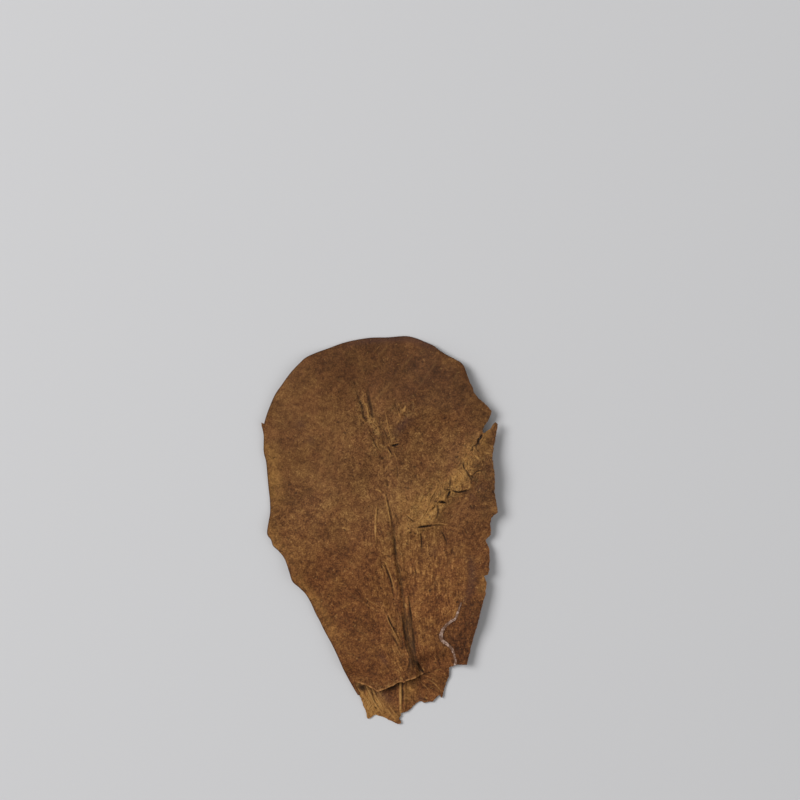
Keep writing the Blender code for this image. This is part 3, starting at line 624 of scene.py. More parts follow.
def waves(x, y):
    """Broad, shallow waves that drying left in the sheet."""
    return (
        0.40 * np.sin(0.14 * x + 0.10 * y + 0.4)
        + 0.26 * np.sin(-0.12 * x + 0.21 * y + 1.9)
        + 0.16 * np.sin(0.31 * x - 0.17 * y + 0.7)
    )


def margin_ripple(x, y, edge):
    """A ripple that runs round the leaf and fades inwards from its edge."""
    turn = np.arctan2(y - 5.0, x)
    ripple = 0.40 * np.sin(7 * turn + 0.6) + 0.25 * np.sin(15 * turn + 2.0)
    return ripple * np.exp(-edge / 5.0)


def joined_strip(x, y):
    """1 on the strip of left margin that still joins blade and foot, and 0 away from it."""
    return 1 - ramp(1.2, 6.0, distance_to(x, y, JOINED_STRIP)[0])


def joined_fold(x, y):
    """1 where blade and foot are still one sheet at the right of the tear, and 0 away from it."""
    return 1 - ramp(1.6, 6.5, distance_to(x, y, JOINED_FOLD)[0])


def over_the_foot(x, y, height):
    """The blade climbs over the foot, its torn lip gapes, and both ends of the tear come down to it."""
    climb = 1 - ramp(-37.0, -27.0, y)
    height = height * (1 - climb) + climb * OVER_FOOT_HEIGHT
    lip, along = distance_to(x, y, TEAR_LIP)
    height += LIP_RISE * bump(lip, 2.6) * np.sin(math.pi * along)
    height -= bump(lip, LIP_SAG_WIDTH) * np.sin(math.pi * along) * (LIP_SAG + LIP_DIP * bump(x + 2.2, 2.2))
    for joined in (joined_strip(x, y), joined_fold(x, y)):
        height = height * (1 - joined) + joined * (JOIN_HEIGHT + JOIN_OVERLAP)
    return height


def settle(x, y, height):
    """Presses the touching spots down to the surface."""
    for spot_x, spot_y, radius in TOUCHING_SPOTS:
        press = 1 - ramp(0.45 * radius, 2.1 * radius, np.hypot(x - spot_x, y - spot_y))
        height = height * (1 - press) + press * TOUCHING_HEIGHT
    return height


def blade_height(x, y, edge):
    """Height of the middle of the solid model's blade."""
    across = x - midrib_x(y)
    height = REST_HEIGHT + MIDRIB_VALLEY * (1 - bump(across, 6.0)) + waves(x, y)
    height += RIGHT_SIDE_RISE * ramp(8.0, 32.0, across) * (0.55 + 0.45 * bump(y - 8.0, 34.0))
    height += LEFT_SIDE_RISE * ramp(8.0, 30.0, -across) * ramp(-20.0, 30.0, y)
    height += margin_ripple(x, y, edge)
    height -= TIP_CURL * np.exp(-edge / 2.4) * ramp(38.0, 52.0, y)
    crumple, _ = distance_to(x, y, smooth_line(CRUMPLE, 1.0))
    height += CRUMPLE_HEIGHT * bump(crumple, CRUMPLE_HALF_WIDTH)
    fold, _ = distance_to(x, y, smooth_line(SIDE_FOLD, 1.0))
    height += SIDE_FOLD_HEIGHT * bump(fold, SIDE_FOLD_HALF_WIDTH)
    return settle(x, y, over_the_foot(x, y, height))


def foot_height(x, y):
    """Height of the middle of the solid model's foot."""
    from_rib = np.abs(x - x_on(FOOT_MIDRIB, y))
    height = FOOT_REST_HEIGHT + 0.4 * bump(from_rib, 3.2)
    height += 0.6 * ramp(42.0, 50.0, -y) * ramp(10.0, 17.0, x)
    height += 0.1 * np.sin(0.7 * x + 0.4 * y) * ramp(40.0, 48.0, -y) * (1 - bump(from_rib, 2.0))
    for joined in (joined_strip(x, y), joined_fold(x, y)):
        height = height * (1 - joined) + joined * (JOIN_HEIGHT - JOIN_OVERLAP)
    return height


def marked(x, y, marks):
    """How strongly any of these marks shows at each point, 0 to 1. A mark fades at both its ends."""
    value = np.zeros(len(x))
    for course, half_width, strength in marks:
        line = smooth_line(course, 0.4)
        low = line.min(axis=0) - 3 * half_width
        high = line.max(axis=0) + 3 * half_width
        near = np.flatnonzero((x > low[0]) & (x < high[0]) & (y > low[1]) & (y < high[1]))
        gap, along = distance_to(x[near], y[near], line)
        fade = np.sin(math.pi * (0.12 + 0.76 * along)) ** 0.7
        value[near] = np.maximum(value[near], strength * fade * bump(gap, half_width))
    return value


def mark_rows(marks):
    """Rows of points along the narrow marks, so that the sheet's triangles can follow them."""
    rows = [np.empty((0, 2))]
    for course, half_width, _ in marks:
        if half_width < NARROW_MARK:
            line = smooth_line(course, FACE_STEP)
            side = sideways(line) * MARK_ROW_GAP
            rows += [line, line + side, line - side]
    return np.vstack(rows)


def crumpled_patch(x, y):
    """1 in the crumpled, cracked parts of the blade, 0 away from them."""
    crumpled = np.maximum(1.5 * marked(x, y, CRUMPLED_GOLD), marked(x, y, CRINKLED_PATCHES))
    return np.clip(crumpled, 0, 1)


def pleated_part(across, y):
    """1 on the lower half beside the midrib, where the sheet has shrunk into long fine pleats."""
    reach = np.where(across > 0, 18.0, 9.0)
    low = ramp(14.0, -4.0, y) * ramp(reach + 5.0, reach - 4.0, np.abs(across))
    upper = 0.6 * bump(np.abs(across), 4.5) * ramp(8.0, 16.0, y) * ramp(42.0, 36.0, y)
    return np.maximum(low, upper)


def fanned(across, y):
    """Distance across the leaf, drawn together towards the foot as the fibres are."""
    return across / (1 + 0.012 * (y + 40.0))


def facets(x, y, size, seed):
    """Heights of small flat facets that lean at random, and how far each point is from their folds."""
    table = np.random.default_rng(seed).uniform(-1, 1, (4, 61, 61))
    i, j = np.floor(x / size).astype(int), np.floor(y / size).astype(int)
    nearest = np.full(len(x), np.inf)
    second = np.full(len(x), np.inf)
    height = np.zeros(len(x))
    for column, row in itertools.product((-1, 0, 1), repeat=2):
        shift_x, shift_y, lean_x, lean_y = table[:, (i + column) % 61, (j + row) % 61]
        dx = x - (i + column + 0.5 + 0.45 * shift_x) * size
        dy = y - (j + row + 0.5 + 0.45 * shift_y) * size
        gap = np.hypot(dx, dy)
        nearer = gap < nearest
        second = np.where(nearer, nearest, np.minimum(second, gap))
        height = np.where(nearer, lean_x * dx + lean_y * dy, height)
        nearest = np.minimum(nearest, gap)
    return height, (second - nearest) / 2


def fine_relief(x, y, across, crumpled, pleated, lie):
    """Crumples, pleats and cockles; which parts of them show as lighter crests, and which as dark folds."""
    cockle = ruffle(x, y, 4.2, 11)
    small = ruffle(x + 0.6 * cockle, y, 1.7, 12)
    fan = fanned(across, y) + 0.25 * ruffle(x, y, 3.0, 18)
    pleat = ruffle(fan, y * 0.10, 0.8, 13) + 0.6 - 1.2 * np.abs(ruffle(fan, y * 0.16, 0.55, 16))
    turned_x = x * math.cos(lie) + y * math.sin(lie) + 0.5 * ruffle(x, y, 1.6, 14)
    turned_y = y * math.cos(lie) - x * math.sin(lie) + 0.3 * ruffle(x, y, 1.3, 15)
    broad, fold = facets(turned_x * 0.45, turned_y, 0.95, 19)
    narrow, _ = facets(turned_x * 0.7, turned_y, 0.6, 20)
    relief = 0.10 * cockle + 0.04 * small + 0.065 * pleated * pleat
    relief += crumpled * (0.45 * broad + 0.28 * narrow - 0.08 * bump(fold, 0.12))
    crest = 0.2 * small + 0.4 * pleated * pleat + crumpled * (1.3 * broad + 1.0 * narrow)
    creases = crumpled * 0.3 * bump(fold, 0.10)
    return relief, crest, creases


def lower_furrow_painted_shade(x, y):
    """1 in the wide furrow between the two creases above the tear, where shade is painted, 0 away from it.
    """
    left, right = x_on(FURROW_LEFT, y), x_on(FURROW_RIGHT, y)
    within_sides = ramp(left - 0.3, left + 0.3, x) * ramp(right + 0.3, right - 0.3, x)
    return within_sides * ramp(-41.0, -37.0, y) * ramp(-21.0, -26.0, y)


def side_vein_lines(count, across, y, edge):
    """Where side veins may show at all, and how strongly each point lies on one."""
    fade = ramp(1.0, 3.5, edge) * ramp(0.6, 1.6, np.abs(across)) * ramp(-41.0, -37.0, y)
    gap = np.abs(count - np.round(count)) * VEIN_GAP
    return fade, bump(gap, 0.42) * fade * (1 - 0.6 * ramp(4.0, 26.0, np.abs(across)))


def beside_cracks(x, y):
    """Each point's distance from the nearest crack, and how strongly the crack's edge darkens it."""
    nearest, dark = np.full(len(x), 9.0), np.zeros(len(x))
    for course, _ in CRACKS:
        gap, along = distance_to(x, y, course)
        nearest = np.minimum(nearest, gap)
        dark = np.maximum(dark, bump(gap, 0.22) * np.sin(math.pi * along) ** 0.5)
    return nearest, dark


def on_highlit_crease(x, y):
    """1 in the middle of the raised crease that carries the painted highlight, 0 away from it."""
    gap, along = distance_to(x, y, smooth_line(HIGHLIT_CREASE, 0.3))
    return bump(gap, np.interp(along, *HIGHLIT_CREASE_HALF_WIDTH))


def calm_part(across, y):
    """1 where the blade is least speckled, towards the tip and on the left, 0 elsewhere."""
    left = 0.8 * ramp(6.0, 14.0, -across) * ramp(0.0, 20.0, y)
    return np.clip(ramp(26.0, 44.0, y) + left, 0, 1)


def blade_shift(x, y, crack):
    """How much lighter or darker the blade is: broad tones, the stained corner, and beside the cracks."""
    shift = tones(x, y, BLADE_TONES)
    stain = x - x_on(CORNER_STAIN_MARGIN, y)
    shift -= 0.20 * ramp(-0.3, 0.7, stain + 0.3 * ruffle(x, y, 0.8, 17)) * ramp(-15.0, -21.0, y)
    return shift - 0.20 * bump(crack, 0.35)


def blade_faces(x, y, outline):
    """Heights of the blade's face and back, and what its finish needs to know at each point."""
    edge, _ = distance_to(x, y, outline, closed=True)
    whole = np.minimum(*(distance_to(x, y, line)[0] for line in whole_margin()))
    lip, _ = distance_to(x, y, np.array(TEAR_LIP))
    across = x - midrib_x(y)
    count = vein_count(across, y + 0.6 * ruffle(x, y, 7.0, 21))
    fade, line = side_vein_lines(count, across, y, edge)
    crumpled = crumpled_patch(x, y)
    pleated = np.maximum(pleated_part(across, y), 0.8 * crumpled)
    relief, crest, creases = fine_relief(x, y, across, crumpled, pleated, math.radians(55))
    dark, pale = marked(x, y, BLADE_GROOVES), marked(x, y, BLADE_RIDGES)
    crack, crack_edge = beside_cracks(x, y)
    # The raised crease in the lower right corner, along which the finish paints a highlight
    highlit_crease = on_highlit_crease(x, y)

    base = blade_height(x, y, edge) - SOLID_THICKNESS / 2
    rib_furrow = 0.22 * bump(np.abs(across) - 1.3, 0.6) - 0.38 * bump(across, 0.55)
    face = base + SHEET_THICKNESS + relief + ramp(14.0, -10.0, y) * rib_furrow + 0.05 * line
    face += 0.17 * pale - 0.19 * dark + 0.16 * bump(crack - 0.5, 0.3) + 0.16 * highlit_crease
    back = base + relief - 0.26 * line - (0.3 + 0.6 * ramp(50.0, -40.0, y)) * bump(across, 0.8)

    crack_rim = 0.7 * bump(crack - 0.5, 0.2) * ramp(-0.3, 0.5, ruffle(x, y, 1.1, 22))
    facts = {
        "across": across,
        "fan": fanned(across, y),
        "whole": whole,
        "lip": lip,
        "vein_count": count,
        "vein_fade": fade,
        "crumpled": crumpled,
        "pleated": pleated,
        "crest": crest,
        "dark": np.clip(np.maximum(dark, creases) + 1.1 * crack_edge, 0, 1),
        "pale": np.maximum(pale, crack_rim),
        "warm": ramp(12.0, -18.0, y),
        "highlit_crease": highlit_crease,
        "calm": calm_part(across, y),
        "wine_stain_shade_and_reflection": marked(x, y, BLADE_WINE_STAINS_SHADE_AND_REFLECTION),
        "golden": marked(x, y, CRUMPLED_GOLD + BLADE_GOLDEN_PATCHES),
        "shift": blade_shift(x, y, crack),
        # Where shade is painted: down the midrib in the lower half, and in the wide furrow above the tear
        "furrow": np.maximum(ramp(6.0, -6.0, y) * bump(across, 0.42), lower_furrow_painted_shade(x, y)),
    }
    return face, back, facts


def foot_fibres(x, y, across):
    """A measure that changes across the foot's fibres: slanting on the left, curved on the right."""
    slanting = 0.87 * x + 0.5 * (y + 48.0)
    curved = np.hypot(x - 11.0, y + 51.0)
    left, right = ramp(5.0, 1.0, x), ramp(9.0, 12.0, x)
    return slanting * left + across * (1 - left) * (1 - right) + curved * right


def foot_faces(x, y, outline):
    """Heights of the foot's face and back, and what its finish needs to know at each point."""
    edge, _ = distance_to(x, y, outline, closed=True)
    across = x - x_on(FOOT_MIDRIB, y)
    left = ramp(3.0, -1.0, x)
    dark, pale = marked(x, y, FOOT_GROOVES), marked(x, y, FOOT_RIDGES)
    relief, crest, creases = fine_relief(x, y, across, 0.6 * left, 0.4, math.radians(-60))
    lip, _ = distance_to(x, y, np.array(TEAR_LIP))
    # Painted shade on the foot under the blade's torn lip
    painted_shade_under_lip = bump(lip, 1.6) * ramp(12.0, 9.0, x)

    base = foot_height(x, y) - SOLID_THICKNESS / 2
    ribs = 0.28 * bump(np.abs(across) - 0.6, 0.28) * ramp(0.0, 1.6, edge)
    face = base + SHEET_THICKNESS + 0.7 * relief + ribs + 0.16 * pale - 0.16 * dark
    back = base + 0.7 * relief - 0.4 * bump(across, 0.9)
    facts = {name: np.full(len(x), value) for name, value in PLAIN_FOOT_FACTS.items()}
    facts |= {
        "across": across,
        "fan": foot_fibres(x, y, across),
        "crumpled": 0.6 * left,
        "crest": crest,
        "dark": np.clip(np.maximum(dark, creases) + 0.3 * painted_shade_under_lip, 0, 1),
        "pale": pale,
        "wine_stain_shade_and_reflection": marked(x, y, FOOT_WINE_STAINS_AND_SHADE),
        "golden": marked(x, y, FOOT_GOLDEN_PATCHES),
        "shift": 0.24 * left - 0.04 * ramp(10.0, 13.0, x) - 0.10 * painted_shade_under_lip,
    }
    return face, back, facts


def tones(x, y, shifts):
    """How much lighter or darker the sheet is at each point."""
    total = np.zeros(len(x))
    for centre_x, centre_y, wide, tall, shift in shifts:
        total += shift * bump(np.hypot((x - centre_x) / wide, (y - centre_y) / tall), 1.0)
    return total


def clear_of(points, others, gap):
    """The points that keep at least this gap from all the others."""
    tree = KDTree(len(others))
    for index, (x, y) in enumerate(others):
        tree.insert((x, y, 0), index)
    tree.balance()
    return points[np.array([tree.find((x, y, 0))[2] > gap for x, y in points], bool)]


def even_grid(outline, step):
    """Points in even rows over the outline's box, each row shifted by half a step."""
    low, high = outline.min(axis=0), outline.max(axis=0)
    rows = []
    for row, y in enumerate(np.arange(low[1], high[1], step * math.sqrt(3) / 2)):
        x = np.arange(low[0], high[0], step) + step / 2 * (row % 2)
        rows.append(np.column_stack([x, np.full(len(x), y)]))
    return np.vstack(rows)


def within(points, outline, holes):
    """Which points lie on the sheet: inside its outline and in none of its cracks."""
    on_sheet = inside(*points.T, outline)
    for hole in holes:
        on_sheet &= ~inside(*points.T, hole)
    return on_sheet


def spread_points(outline, holes, rows, step):
    """The points of a sheet's triangles: its rim first, then the marks' rows and an even grid."""
    rim = np.vstack([outline, *holes])
    if len(rows):
        _, first = np.unique(np.round(rows / 0.16).astype(int), axis=0, return_index=True)
        rows = rows[np.sort(first)]
        rows = clear_of(rows[within(rows, outline, holes)], rim, 0.5 * FACE_STEP)
    fixed = np.vstack([rim, rows]) if len(rows) else rim
    grid = even_grid(outline, step)
    grid = clear_of(grid[within(grid, outline, holes)], fixed, 0.62 * step)
    return np.vstack([fixed, grid])


def loop_edges(loops):
    """The edges of closed loops, whose points are numbered one loop after another."""
    edges = []
    for loop in loops:
        first, count = len(edges), len(loop)
        edges += [(first + i, first + (i + 1) % count) for i in range(count)]
    return edges


def triangulate(outline, holes, rows, step):
    """A flat sheet of even triangles inside the outline, with the cracks left open."""
    points = spread_points(outline, holes, rows, step)
    edges = loop_edges([outline, *holes])
    made = delaunay_2d_cdt([tuple(p) for p in points], edges, [], 0, 1e-6)
    flat = np.array([tuple(v) for v in made[0]])
    triangles = np.array(made[2])
    doubtful = np.flatnonzero((triangles < len(edges)).all(axis=1))
    keep = np.ones(len(triangles), bool)
    keep[doubtful] = within(flat[triangles[doubtful]].mean(axis=1), outline, holes)
    triangles = triangles[keep]
    a, b, c = flat[triangles].transpose(1, 0, 2)
    turned = (b[:, 0] - a[:, 0]) * (c[:, 1] - a[:, 1]) < (b[:, 1] - a[:, 1]) * (c[:, 0] - a[:, 0])
    triangles[turned] = triangles[turned][:, ::-1]
    used, triangles = np.unique(triangles, return_inverse=True)
    return flat[used], triangles.reshape(-1, 3)


def rim_edges(triangles):
    """The edges that only one triangle has, in that triangle's direction."""
    ends = np.concatenate([triangles[:, [0, 1]], triangles[:, [1, 2]], triangles[:, [2, 0]]])
    _, index, count = np.unique(np.sort(ends, axis=1), axis=0, return_index=True, return_counts=True)
    return ends[index[count == 1]]


def rim_walls(top, triangles, under):
    """The triangles that close the rim between the face and the back, whose points come after it."""
    place = {tuple(key): index for index, key in enumerate(np.round(under * 1e4).astype(int))}
    a, b = rim_edges(triangles).T
    below_a = np.array([place[tuple(key)] for key in np.round(top[a] * 1e4).astype(int)]) + len(top)
    below_b = np.array([place[tuple(key)] for key in np.round(top[b] * 1e4).astype(int)]) + len(top)
    return np.vstack([np.column_stack([b, a, below_a]), np.column_stack([b, below_a, below_b])])


def sheet(name, outline, cracks, rows, faces_of, finish):
    """A closed thin sheet: face, back and rim walls, with the finish's facts stored on its points."""
    holes = [crack_outline(course, width, 40 + i) for i, (course, width) in enumerate(cracks)]
    top, triangles = triangulate(outline, holes, rows, FACE_STEP)
    under, under_triangles = triangulate(outline, holes, rows[:0], BACK_STEP)
    face, _, facts = faces_of(*top.T, outline)
    _, back, under_facts = faces_of(*under.T, outline)
    facts["back"], under_facts["back"] = np.zeros(len(top)), np.ones(len(under))
    height = np.clip(np.r_[face, back], LOWEST[2], HIGHEST[2])
    points = np.column_stack([np.vstack([top, under]), height]) * MM
    walls = rim_walls(top, triangles, under)
    faces = np.vstack([triangles, under_triangles[:, ::-1] + len(top), walls])
    facts = {fact: np.r_[values, under_facts[fact]] for fact, values in facts.items()}
    return piece_of(name, points, faces, facts, finish)


def piece_of(name, points, faces, facts, finish):
    """An object made of these triangles, smoothly shaded, with its facts and its finish."""
    mesh = bpy.data.meshes.new(name)
    mesh.from_pydata(points.tolist(), [], faces.tolist())
    for fact, values in facts.items():
        layer = mesh.attributes.new(fact, "FLOAT", "POINT")
        layer.data.foreach_set("value", values.astype(np.float32))
    mesh.update()
    mesh.shade_smooth()
    mesh.set_sharp_from_angle(angle=math.radians(60))
    mesh.materials.append(finish)
    obj = bpy.data.objects.new(name, mesh)
    bpy.context.scene.collection.objects.link(obj)
    return obj


class Socket:
    """A socket of a finish's node tree that Python's operators work on."""

    def __init__(self, finish, socket):
        self.finish = finish
        self.socket = socket

    def maths(self, operation, *values):
        inputs = dict(enumerate((self, *values)))
        return self.finish.node("ShaderNodeMath", inputs, operation=operation)

    def __add__(self, other):
        return self.maths("ADD", other)

    __radd__ = __add__

    def __mul__(self, other):
        return self.maths("MULTIPLY", other)

    __rmul__ = __mul__

    def __sub__(self, other):
        return self.maths("SUBTRACT", other)

    def __rsub__(self, other):
        return self.finish.node("ShaderNodeMath", {0: other, 1: self}, operation="SUBTRACT")

    def __abs__(self):
        return self.maths("ABSOLUTE")

    def between(self, low, high, start=0.0, end=1.0):
        """Runs smoothly from start to end as the value goes from low to high."""
        inputs = {0: self, 1: low, 2: high, 3: start, 4: end}
        return self.finish.node("ShaderNodeMapRange", inputs, interpolation_type="SMOOTHSTEP")


class Finish:
    """A material whose nodes are written as expressions."""

    def __init__(self, name, **constants):
        self.material = bpy.data.materials.new(name)
        self.material.use_nodes = True
        self.tree = self.material.node_tree
        self.shader = self.tree.nodes["Principled BSDF"]
        for socket, value in constants.items():
            self.shader.inputs[socket.replace("_", " ")].default_value = value

    def node(self, kind, inputs=None, output=0, stops=None, **settings):
        """A node with its settings, then its inputs: numbers, colours or other sockets."""
        node = self.tree.nodes.new(kind)
        for setting, value in settings.items():
            setattr(node, setting, value)
        for index, (place, colour) in enumerate(stops or []):
            elements = node.color_ramp.elements
            stop = elements[index] if index < 2 else elements.new(place)
            stop.position = place
            stop.color = colour
        for key, value in (inputs or {}).items():
            if isinstance(value, Socket):
                self.tree.links.new(value.socket, node.inputs[key])
            else:
                node.inputs[key].default_value = value
        return Socket(self, node.outputs[output])

    def fact(self, name):
        """What the sheet stores on its points under this name."""
        return self.node("ShaderNodeAttribute", output="Fac", attribute_name=name)

    def vectors(self, operation, *values, scale=None):
        inputs = dict(enumerate(values))
        if scale is not None:
            inputs[3] = scale
        return self.node("ShaderNodeVectorMath", inputs, operation=operation)

    def mix(self, share, first, second, blend="MIX"):
        """Two colours mixed."""
        inputs = {0: share, 6: first, 7: second}
        return self.node("ShaderNodeMix", inputs, output=2, data_type="RGBA", blend_type=blend)

    def noise(self, place, scale, detail=2.0, rough=0.5, warp=0.0):
        """Noise from about -0.5 to 0.5, with swellings 1 / scale millimetres wide."""
        inputs = {"Vector": place, "Scale": scale, "Detail": detail, "Roughness": rough, "Distortion": warp}
        return self.node("ShaderNodeTexNoise", inputs) - 0.5

    def cells(self, place, scale, output="Distance", **settings):
        return self.node("ShaderNodeTexVoronoi", {"Vector": place, "Scale": scale}, output, **settings)

    def cell_values(self, place, scale):
        """A random value from 0 to 1 for each cell."""
        return self.node("ShaderNodeSeparateColor", {0: self.cells(place, scale, "Color")})

    def feed(self, name, value):
        self.tree.links.new(value.socket, self.shader.inputs[name])


def screen_colour(red, green, blue):
    """A colour given as a screen shows it, 0 to 255, as the linear values that a shader takes."""
    shown = np.array([red, green, blue]) / 255
    linear = np.where(shown > 0.04045, ((shown + 0.055) / 1.055) ** 2.4, shown / 12.92)
    return (*linear.tolist(), 1.0)


# The face's browns from darkest to lightest, its shifts of hue, and the colours of its marks, of painted
# shade and of a painted highlight
BROWNS = [
    (0.0, screen_colour(52, 32, 18)),
    (1.0, screen_colour(168, 126, 76)),
    (0.30, screen_colour(83, 52, 29)),
    (0.50, screen_colour(106, 69, 39)),
    (0.72, screen_colour(131, 91, 52)),
]
REDDISH = (1.02, 0.985, 0.96, 1)
OLIVE = (0.985, 1.015, 0.95, 1)
WARMER = (1.01, 0.89, 0.80, 1)
GOLDEN = screen_colour(158, 115, 60)
# The painted highlight along the raised crease, from grey to pale
PAINTED_HIGHLIGHT_GREY = screen_colour(118, 90, 74)
PAINTED_HIGHLIGHT_PALE = screen_colour(190, 162, 146)
RIDGE_TAN = screen_colour(154, 110, 60)
PALE_STRAW = screen_colour(186, 142, 84)
DARK_BROWN = screen_colour(60, 38, 20)
NEAR_BLACK = screen_colour(34, 20, 9)
# Painted shade in the furrows
FURROW_PAINTED_SHADE = screen_colour(60, 44, 27)
LIP_TAN = screen_colour(172, 122, 72)
PORE = screen_colour(48, 31, 21)
WINE_STAIN_SHADE_AND_REFLECTION = screen_colour(74, 48, 40)
BACK_TAN = screen_colour(140, 103, 66)
BACK_BROWN = screen_colour(104, 72, 44)

# How many swellings or cells of each pattern lie in a millimetre
BROAD_PATCHES, PATCHES, HUES = 0.10, 0.28, 0.2
MOTTLES, GRAIN, FLECKS, PORES = 0.85, 2.3, 1.35, 0.5
FACETS, SMALL_FACETS, WRINKLES = 1.2, 2.6, 1.3
NET, FINE_NET = 0.55, 1.5

# How high the grain and the mottles stand, and how far and which way the crumpled parts' folds are drawn
FINE_RELIEF = 0.3
FOLD_STRETCH = 2.8
FOLD_DIRECTION = math.radians(68)


def leaf_places(leaf):
    """Where the finish's patterns lie: in millimetres, the same drifted a little, and along the fibres."""
    place = leaf.node("ShaderNodeTexCoord", output="Object")
    place = leaf.vectors("SCALE", place, scale=1 / MM)
    drift = leaf.node("ShaderNodeTexNoise", {"Vector": place, "Scale": 0.8, "Detail": 2.0}, output="Color")
    drift = leaf.vectors("SUBTRACT", drift, (0.5, 0.5, 0.5))
    drifted = leaf.vectors("ADD", place, leaf.vectors("SCALE", drift, scale=1.6))
    upward = leaf.node("ShaderNodeSeparateXYZ", {0: place}, output="Y")
    fibrous = leaf.node("ShaderNodeCombineXYZ", {0: leaf.fact("fan") * 1.4, 1: upward * 0.26})
    return place, drifted, fibrous


def leaf_crumples(leaf, drifted):
    """Lighter and darker facets in the crumpled parts, and the fine wrinkles between them."""
    crumpled = leaf.fact("crumpled")
    drawn_out = {"Vector": drifted, "Rotation": (0, 0, FOLD_DIRECTION), "Scale": (FOLD_STRETCH, 1.0, 1.0)}
    folded = leaf.node("ShaderNodeMapping", drawn_out, vector_type="TEXTURE")
    facet, small_facet = (leaf.cell_values(folded, scale) - 0.5 for scale in (FACETS, SMALL_FACETS))
    wrinkles = leaf.cells(folded, WRINKLES, feature="DISTANCE_TO_EDGE").between(0.02, 0.2, 1.0, 0.0)
    broken = leaf.noise(drifted, 0.7, 2.0).between(-0.1, 0.12)
    return crumpled * (facet * 0.55 + small_facet * 0.8), crumpled * wrinkles * broken


def leaf_patterns(leaf):
    """The patterns that the finish's colours and relief share."""
    place, drifted, fibrous = leaf_places(leaf)
    crumples, wrinkles = leaf_crumples(leaf, drifted)
    pores = leaf.cells(drifted, PORES) + leaf.cell_values(drifted, PORES) * 0.22
    net = leaf.cells(drifted, NET, feature="DISTANCE_TO_EDGE")
    fine_net = leaf.cells(drifted, FINE_NET, feature="DISTANCE_TO_EDGE")
    return SimpleNamespace(
        place=place,
        drifted=drifted,
        busy=1.0 - 0.35 * leaf.fact("calm"),
        mottles=leaf.noise(drifted, MOTTLES, 3.0, 0.6),
        grain=leaf.noise(place, GRAIN, 2.0, 0.6),
        pleated=leaf.fact("pleated"),
        fibres=leaf.noise(fibrous, 1.0, 3.0, 0.6, 0.5),
        threads=leaf.noise(leaf.vectors("MULTIPLY", fibrous, (2.6, 1.6, 1.0)), 1.0, 2.0),
        crumples=crumples,
        wrinkles=wrinkles,
        pores=pores.between(0.12, 0.24, 1.0, 0.0),
        net=net.between(0.0, 0.10, 1.0, 0.0),
        fine_net=fine_net.between(0.0, 0.14, 1.0, 0.0),
    )


def leaf_tone(leaf, seen):
    """How light the leaf is at each point, from about 0 to 1."""
    patches = 0.35 * leaf.noise(seen.place, BROAD_PATCHES) + 0.45 * leaf.noise(seen.drifted, PATCHES, 2.0)
    tone = 0.5 + leaf.fact("shift") + patches + (1.0 * seen.mottles + 1.1 * seen.grain) * seen.busy
    tone = tone + seen.pleated * (seen.fibres * 0.75 + seen.threads * 0.6)
    return tone + leaf.fact("crest") * 0.15 + seen.crumples * 0.35


def face_colour(leaf, seen, tone):
    """Mottled browns with golden and purplish patches, dark pores and pale flecks."""
    colour = leaf.node("ShaderNodeValToRGB", {0: tone}, stops=BROWNS)
    hue = leaf.noise(seen.drifted, HUES, 2.0).between(-0.14, 0.14)
    colour = leaf.mix(1.0, colour, leaf.mix(hue, REDDISH, OLIVE), blend="MULTIPLY")
    colour = leaf.mix(leaf.fact("warm"), colour, WARMER, blend="MULTIPLY")
    gold_share = leaf.noise(seen.drifted, 0.5, 2.0, 0.6).between(-0.2, 0.1, 0.3, 0.9)
    gold_share = leaf.fact("golden") * (gold_share + seen.crumples * 0.8)
    gold = leaf.mix(1.0, GOLDEN, tone.between(0.1, 0.9, 0.6, 1.35), blend="MULTIPLY")
    colour = leaf.mix(gold_share, colour, gold)
    # Purplish stains, with painted shade along the tip and under the torn lip, and a painted reflection
    # beside the raised crease
    colour = leaf.mix(leaf.fact("wine_stain_shade_and_reflection") * 0.75, colour, WINE_STAIN_SHADE_AND_REFLECTION)
    colour = leaf.mix(seen.pores * seen.busy * 0.7, colour, PORE)
    flecks = leaf.noise(seen.drifted, FLECKS, 1.0).between(0.17, 0.26)
    return leaf.mix(flecks * seen.busy * 0.35, colour, PALE_STRAW)


def side_veins(leaf):
    """1 along the middle of each side vein, 0 away from it."""
    gap = leaf.fact("vein_count").maths("PINGPONG", 0.5) * VEIN_GAP
    return gap.between(0.1, 0.5, 1.0, 0.0) * leaf.fact("vein_fade")


def with_crease_highlight(leaf, seen, colour):
    """The face's colour with the painted highlight along the raised crease: dark outside, pale and uneven,
    with a purplish core.
    """
    highlit_crease = leaf.fact("highlit_crease")
    colour = leaf.mix(highlit_crease.between(0.05, 0.3) * 0.5, colour, DARK_BROWN)
    pale = leaf.mix(leaf.noise(seen.place, 0.9, 2.0).between(-0.04, 0.1), PAINTED_HIGHLIGHT_GREY, PAINTED_HIGHLIGHT_PALE)
    colour = leaf.mix((highlit_crease + seen.mottles * 0.8).between(0.35, 0.75) * 0.85, colour, pale)
    core = highlit_crease.between(0.8, 0.98) * leaf.noise(seen.place, 1.1, 2.0).between(-0.1, 0.1)
    return leaf.mix(core * 0.6, colour, WINE_STAIN_SHADE_AND_REFLECTION)


